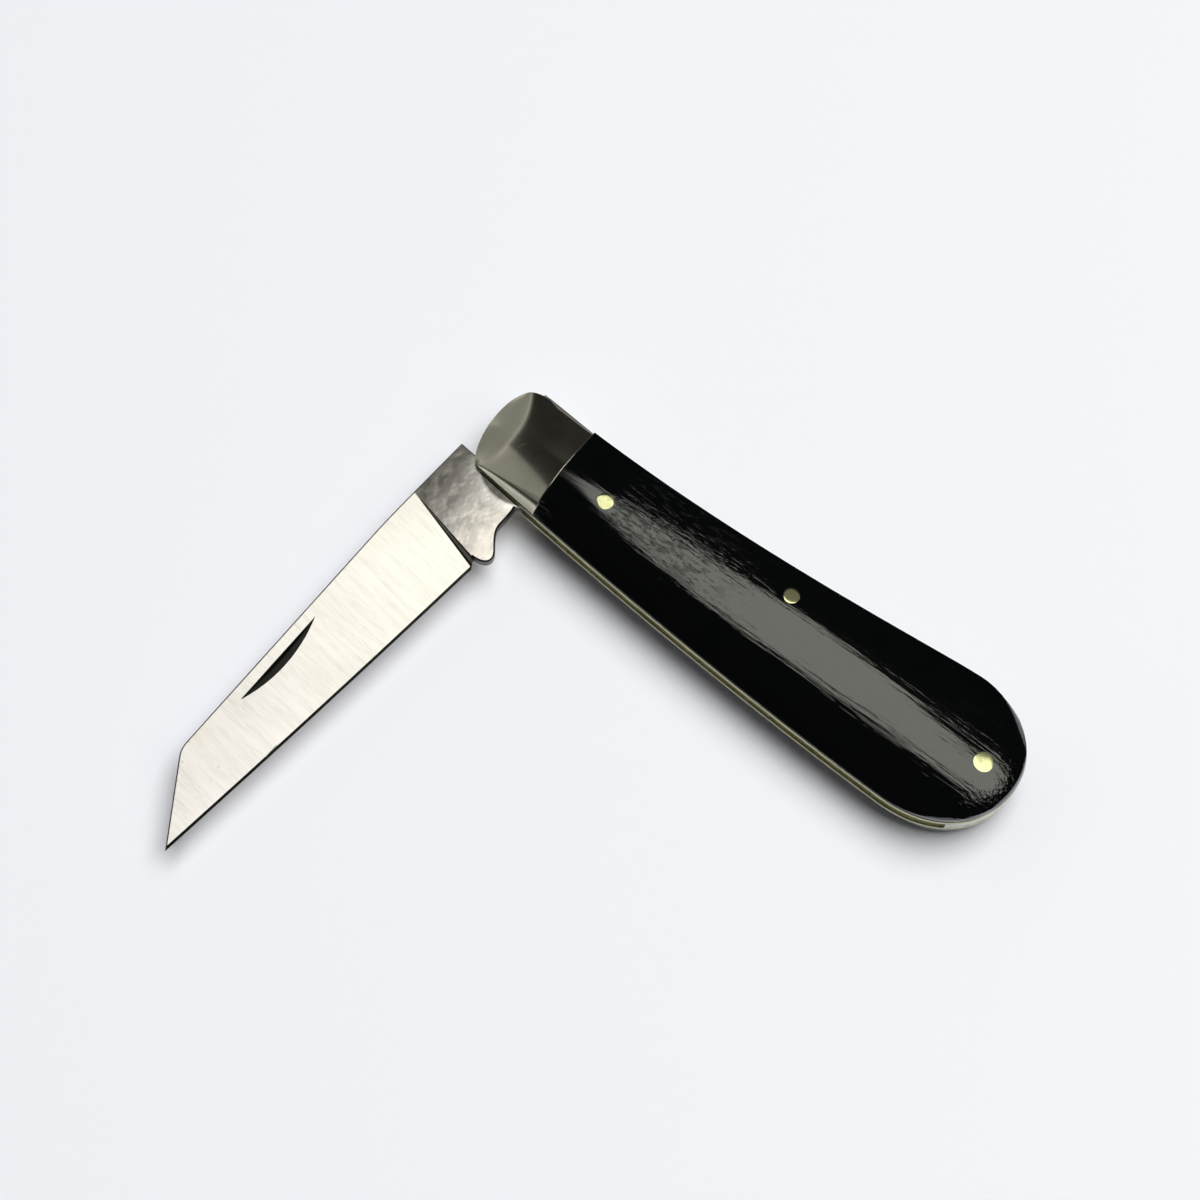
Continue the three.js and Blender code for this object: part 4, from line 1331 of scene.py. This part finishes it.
    def build(self) -> Object:
        """Builds the blade at its rest angle and fits it."""
        bm = start_outline(self.outline())
        raise_plate(bm, -self.tang_half, self.tang_half)
        bm.normal_update()
        kept = [e for e in rim_edges(bm) if not self.is_sharp(e)]
        ease_edges(bm, kept, self.eased, 1)
        self.slice_up(bm)
        self.shape_grind(bm)
        bmesh.ops.remove_doubles(bm, verts=bm.verts, dist=self.merge_gap)
        bmesh.ops.dissolve_degenerate(bm, edges=bm.edges, dist=TINY)
        bm.normal_update()
        for face in bm.faces:
            face.material_index = self.finish_of(face).value
        self.add_boss(bm)
        bmesh.ops.rotate(bm, cent=(0, 0, 0), verts=bm.verts,
                         matrix=Matrix.Rotation(math.radians(self.rest_angle), 3, "Z"))
        bmesh.ops.translate(bm, vec=(0, 0, self.middle), verts=bm.verts)
        return finish_piece(bm, "lambfoot_blade", "blade", self.materials, self.smooth,
                            "blade")

    def finish_of(self, face: BMFace) -> BladeFinish:
        """Returns which finish a face of the blade takes."""
        middle = face.calc_center_median()
        past = self.past_plunge(middle.x, middle.y)
        # The nick's faces take painted shade.
        if middle.z > 0 and self.nick_depth(middle.x, middle.y) > self.nick_shown:
            return BladeFinish.NICK
        # The edge's bevel, the plunge's lines and the walls take a near-black painted dark reflection.
        if past > 0 and middle.y > self.edge_line(middle.x) - self.edge_width:
            return BladeFinish.EDGE
        if 0 < past < 1 and middle.y > self.plunge_start - self.tang_spine:
            first, second = self.plunge_lines
            return BladeFinish.RAMP if first < past < second else BladeFinish.EDGE
        if abs(face.normal.z) < self.wall_slope:
            return BladeFinish.EDGE
        return BladeFinish.GROUND if past > 0 else BladeFinish.TANG

    def is_sharp(self, edge: BMEdge) -> bool:
        """Tells whether an outline edge belongs to the sharpened edge."""
        return all(v.co.x > self.heel[0] - 0.1 and abs(v.co.y - self.edge_line(v.co.x)) < 0.01
                   for v in edge.verts)

    def add_boss(self, bm: BMesh) -> None:
        """Adds the raised round about the pivot, cut by the tang's two flats."""
        boss = bmesh.new()
        bmesh.ops.create_circle(boss, cap_ends=True, radius=self.boss_radius,
                                segments=self.boss_sides)
        for angle in (270.0, self.closed_normal):
            normal = (math.cos(math.radians(angle)), math.sin(math.radians(angle)), 0)
            at = tuple((self.flat - self.boss_inset) * n for n in normal)
            bmesh.ops.bisect_plane(boss, geom=[*boss.verts, *boss.edges, *boss.faces], dist=TINY,
                                   plane_co=at, plane_no=normal, clear_outer=True)
        raise_plate(boss, -self.boss_half, self.boss_half)
        boss.normal_update()
        for face in boss.faces:
            face.material_index = BladeFinish.TANG.value
        ease_edges(boss, rim_edges(boss), self.eased)
        mesh = bpy.data.meshes.new("boss")
        boss.to_mesh(mesh)
        boss.free()
        bm.from_mesh(mesh)
        bpy.data.meshes.remove(mesh)


@dataclass(frozen=True)
class Panel:
    """A rectangular lamp of even brightness, facing down, over a span of x and of y."""

    name: str
    across: tuple
    along: tuple
    radiance: float
    colour: tuple = (1.0, 1.0, 1.0)
    height: float = 600.0

    def build(self, linked: list[Object], state: str = "INCLUDE") -> None:
        """Makes the lamp.

        Args:
            linked: Pieces that its light treats apart.
            state: INCLUDE to light them alone, or EXCLUDE to light all but them.
        """
        light = bpy.data.lights.new(self.name, "AREA")
        light.shape = "RECTANGLE"
        light.size = (self.across[1] - self.across[0]) * MM
        light.size_y = (self.along[1] - self.along[0]) * MM
        light.energy = self.radiance * math.pi * light.size * light.size_y
        light.color = self.colour
        lamp = add_object(self.name, light)
        lamp.location = (sum(self.across) / 2 * MM, sum(self.along) / 2 * MM, self.height * MM)
        lit = bpy.data.collections.new(f"{self.name}_linked")
        for piece in linked:
            lit.objects.link(piece)
        for entry in lit.collection_objects:
            entry.light_linking.link_state = state
        lamp.light_linking.receiver_collection = lit


@dataclass
class Studio:
    """Camera, lamps, floor and surroundings, in millimetres but for the floor's size in metres."""

    azimuth: float = 37.24
    elevation: float = 74.0
    target: tuple = (18.88, -8.69, 5.0)
    distance: float = 400.0
    lens: float = 92.4
    pale: tuple = (0.879, 0.888, 0.938, 1)
    key_tilt: tuple = (-20.0, 5.0, 0.0)
    key_strength: float = 2.46
    key_softness: float = 44.0
    floor_size: float = 4.0
    horizon: tuple = (0.06, 0.18)
    horizon_end: tuple = (0.3, 0.55)
    surround: tuple = ((0.0, 0.26), (0.15, 0.30), (0.35, 0.45), (0.6, 0.035), (0.7, 0.012), (1.0, 0.012))
    panel_handle: Panel = Panel("panel_handle", (-113.0, 850.0), (30.0, 270.0), 1.8, (1.0, 1.02, 0.9))
    panel_fill: Panel = Panel("panel_fill", (-520.0, -195.0), (-1500.0, -250.0), 0.24)
    panel_spine: Panel = Panel("panel_spine", (-230.0, 200.0), (390.0, 1500.0), 0.055)
    panel_edge: Panel = Panel("panel_edge", (100.0, 400.0), (-200.0, 600.0), 2.4)
    panel_pins: Panel = Panel("panel_pins", (-113.0, 850.0), (270.0, 520.0), 0.17)
    panel_blade: Panel = Panel("panel_blade", (-136.0, 60.0), (-330.0, 170.0), 1.29)

    def build(self, blade: Object, bolsters: list[Object], pins: list[Object]) -> None:
        """Builds everything that isn't part of the knife.

        Args:
            blade: The blade, which has a lamp of its own.
            bolsters: The bolsters and the pivot pin, which share three lamps.
            pins: The brass pins, which share one.
        """
        self.make_camera()
        self.make_world()
        self.make_key()
        self.make_floor()
        self.panel_handle.build(bolsters, "EXCLUDE")
        for panel in (self.panel_fill, self.panel_spine, self.panel_edge):
            panel.build(bolsters)
        self.panel_pins.build(pins)
        self.panel_blade.build([blade])

    def make_camera(self) -> None:
        """Makes the camera at the photograph's viewing angle."""
        a, e = math.radians(self.azimuth), math.radians(self.elevation)
        back = Vector((math.sin(a) * math.cos(e), -math.cos(a) * math.cos(e), math.sin(e)))
        camera = bpy.data.cameras.new("camera")
        camera.lens = self.lens
        camera.sensor_width = 36.0
        camera.clip_start, camera.clip_end = 0.01, 20.0
        view = add_object("camera", camera)
        view.location = (Vector(self.target) + back * self.distance) * MM
        view.rotation_mode = "QUATERNION"
        view.rotation_quaternion = (-back).to_track_quat("-Z", "Y")
        bpy.context.scene.camera = view

    def make_world(self) -> None:
        """Makes surroundings: dark overhead, grey towards -X, pale at the horizon but for +X."""
        world = bpy.data.worlds.new("studio")
        bpy.context.scene.world = world
        world.use_nodes = True
        work = Nodes(world.node_tree)
        x, _, z = work.places(work.add("ShaderNodeTexCoord").outputs["Generated"])
        ramp = work.add("ShaderNodeValToRGB", work.between(x, -1.0, 0.0))
        stops = ramp.color_ramp.elements
        for place, _ in self.surround[1:-1]:
            stops.new(place)
        for stop, (place, level) in zip(stops, self.surround):
            stop.position = place
            stop.color = (level, level, level, 1)
        low = work.calc("MULTIPLY", work.between(z, *self.horizon, 1.0, 0.0),
                        work.between(x, *self.horizon_end, 1.0, 0.0))
        surround = work.blend(low, ramp.outputs["Color"], self.pale)
        seen = work.add("ShaderNodeLightPath").outputs["Is Camera Ray"]
        work.fill(work.tree.nodes["Background"], Color=work.blend(seen, surround, self.pale))

    def make_key(self) -> None:
        """Makes the soft light that lays the shadow on the floor."""
        light = bpy.data.lights.new("key", "SUN")
        light.energy = self.key_strength
        light.angle = math.radians(self.key_softness)
        lamp = add_object("key", light)
        lamp.rotation_euler = [math.radians(part) for part in self.key_tilt]
        lamp.visible_glossy = False

    def make_floor(self) -> None:
        """Makes the pale floor that the knife lies on."""
        bm = bmesh.new()
        bmesh.ops.create_grid(bm, x_segments=1, y_segments=1, size=self.floor_size / 2)
        mesh = bpy.data.meshes.new("floor")
        bm.to_mesh(mesh)
        bm.free()
        paper = NodeWork("floor_paper")
        mesh.materials.append(paper.finish(Base_Color=self.pale, Roughness=0.9, Specular_IOR_Level=0.0))
        floor = add_object("floor", mesh)


def main() -> None:
    """Builds the handle, the blade and the studio in order."""
    logging.basicConfig(level=logging.INFO, format="%(name)s: %(message)s")
    bpy.context.scene.view_settings.view_transform = "Standard"
    effects = Effects()
    wood, silver, spring, brass, pin = (
        finish.make(effects) for finish in (BlackWood(), SILVER, SPRING_STEEL, LINER_BRASS, PIN_BRASS))
    handle = Handle(wood, silver, spring, brass, pin)
    handle.build()
    finishes = (BrushedBlade(), NICK_STEEL_PAINTED_SHADE, EDGE_STEEL_PAINTED_DARK, PolishedTang(), RAMP_STEEL)
    blade = Blade([finish.make(effects) for finish in finishes]).build()
    Studio().build(blade, handle.silver_pieces, handle.brass_pins)


if __name__ == "__main__":
    main()
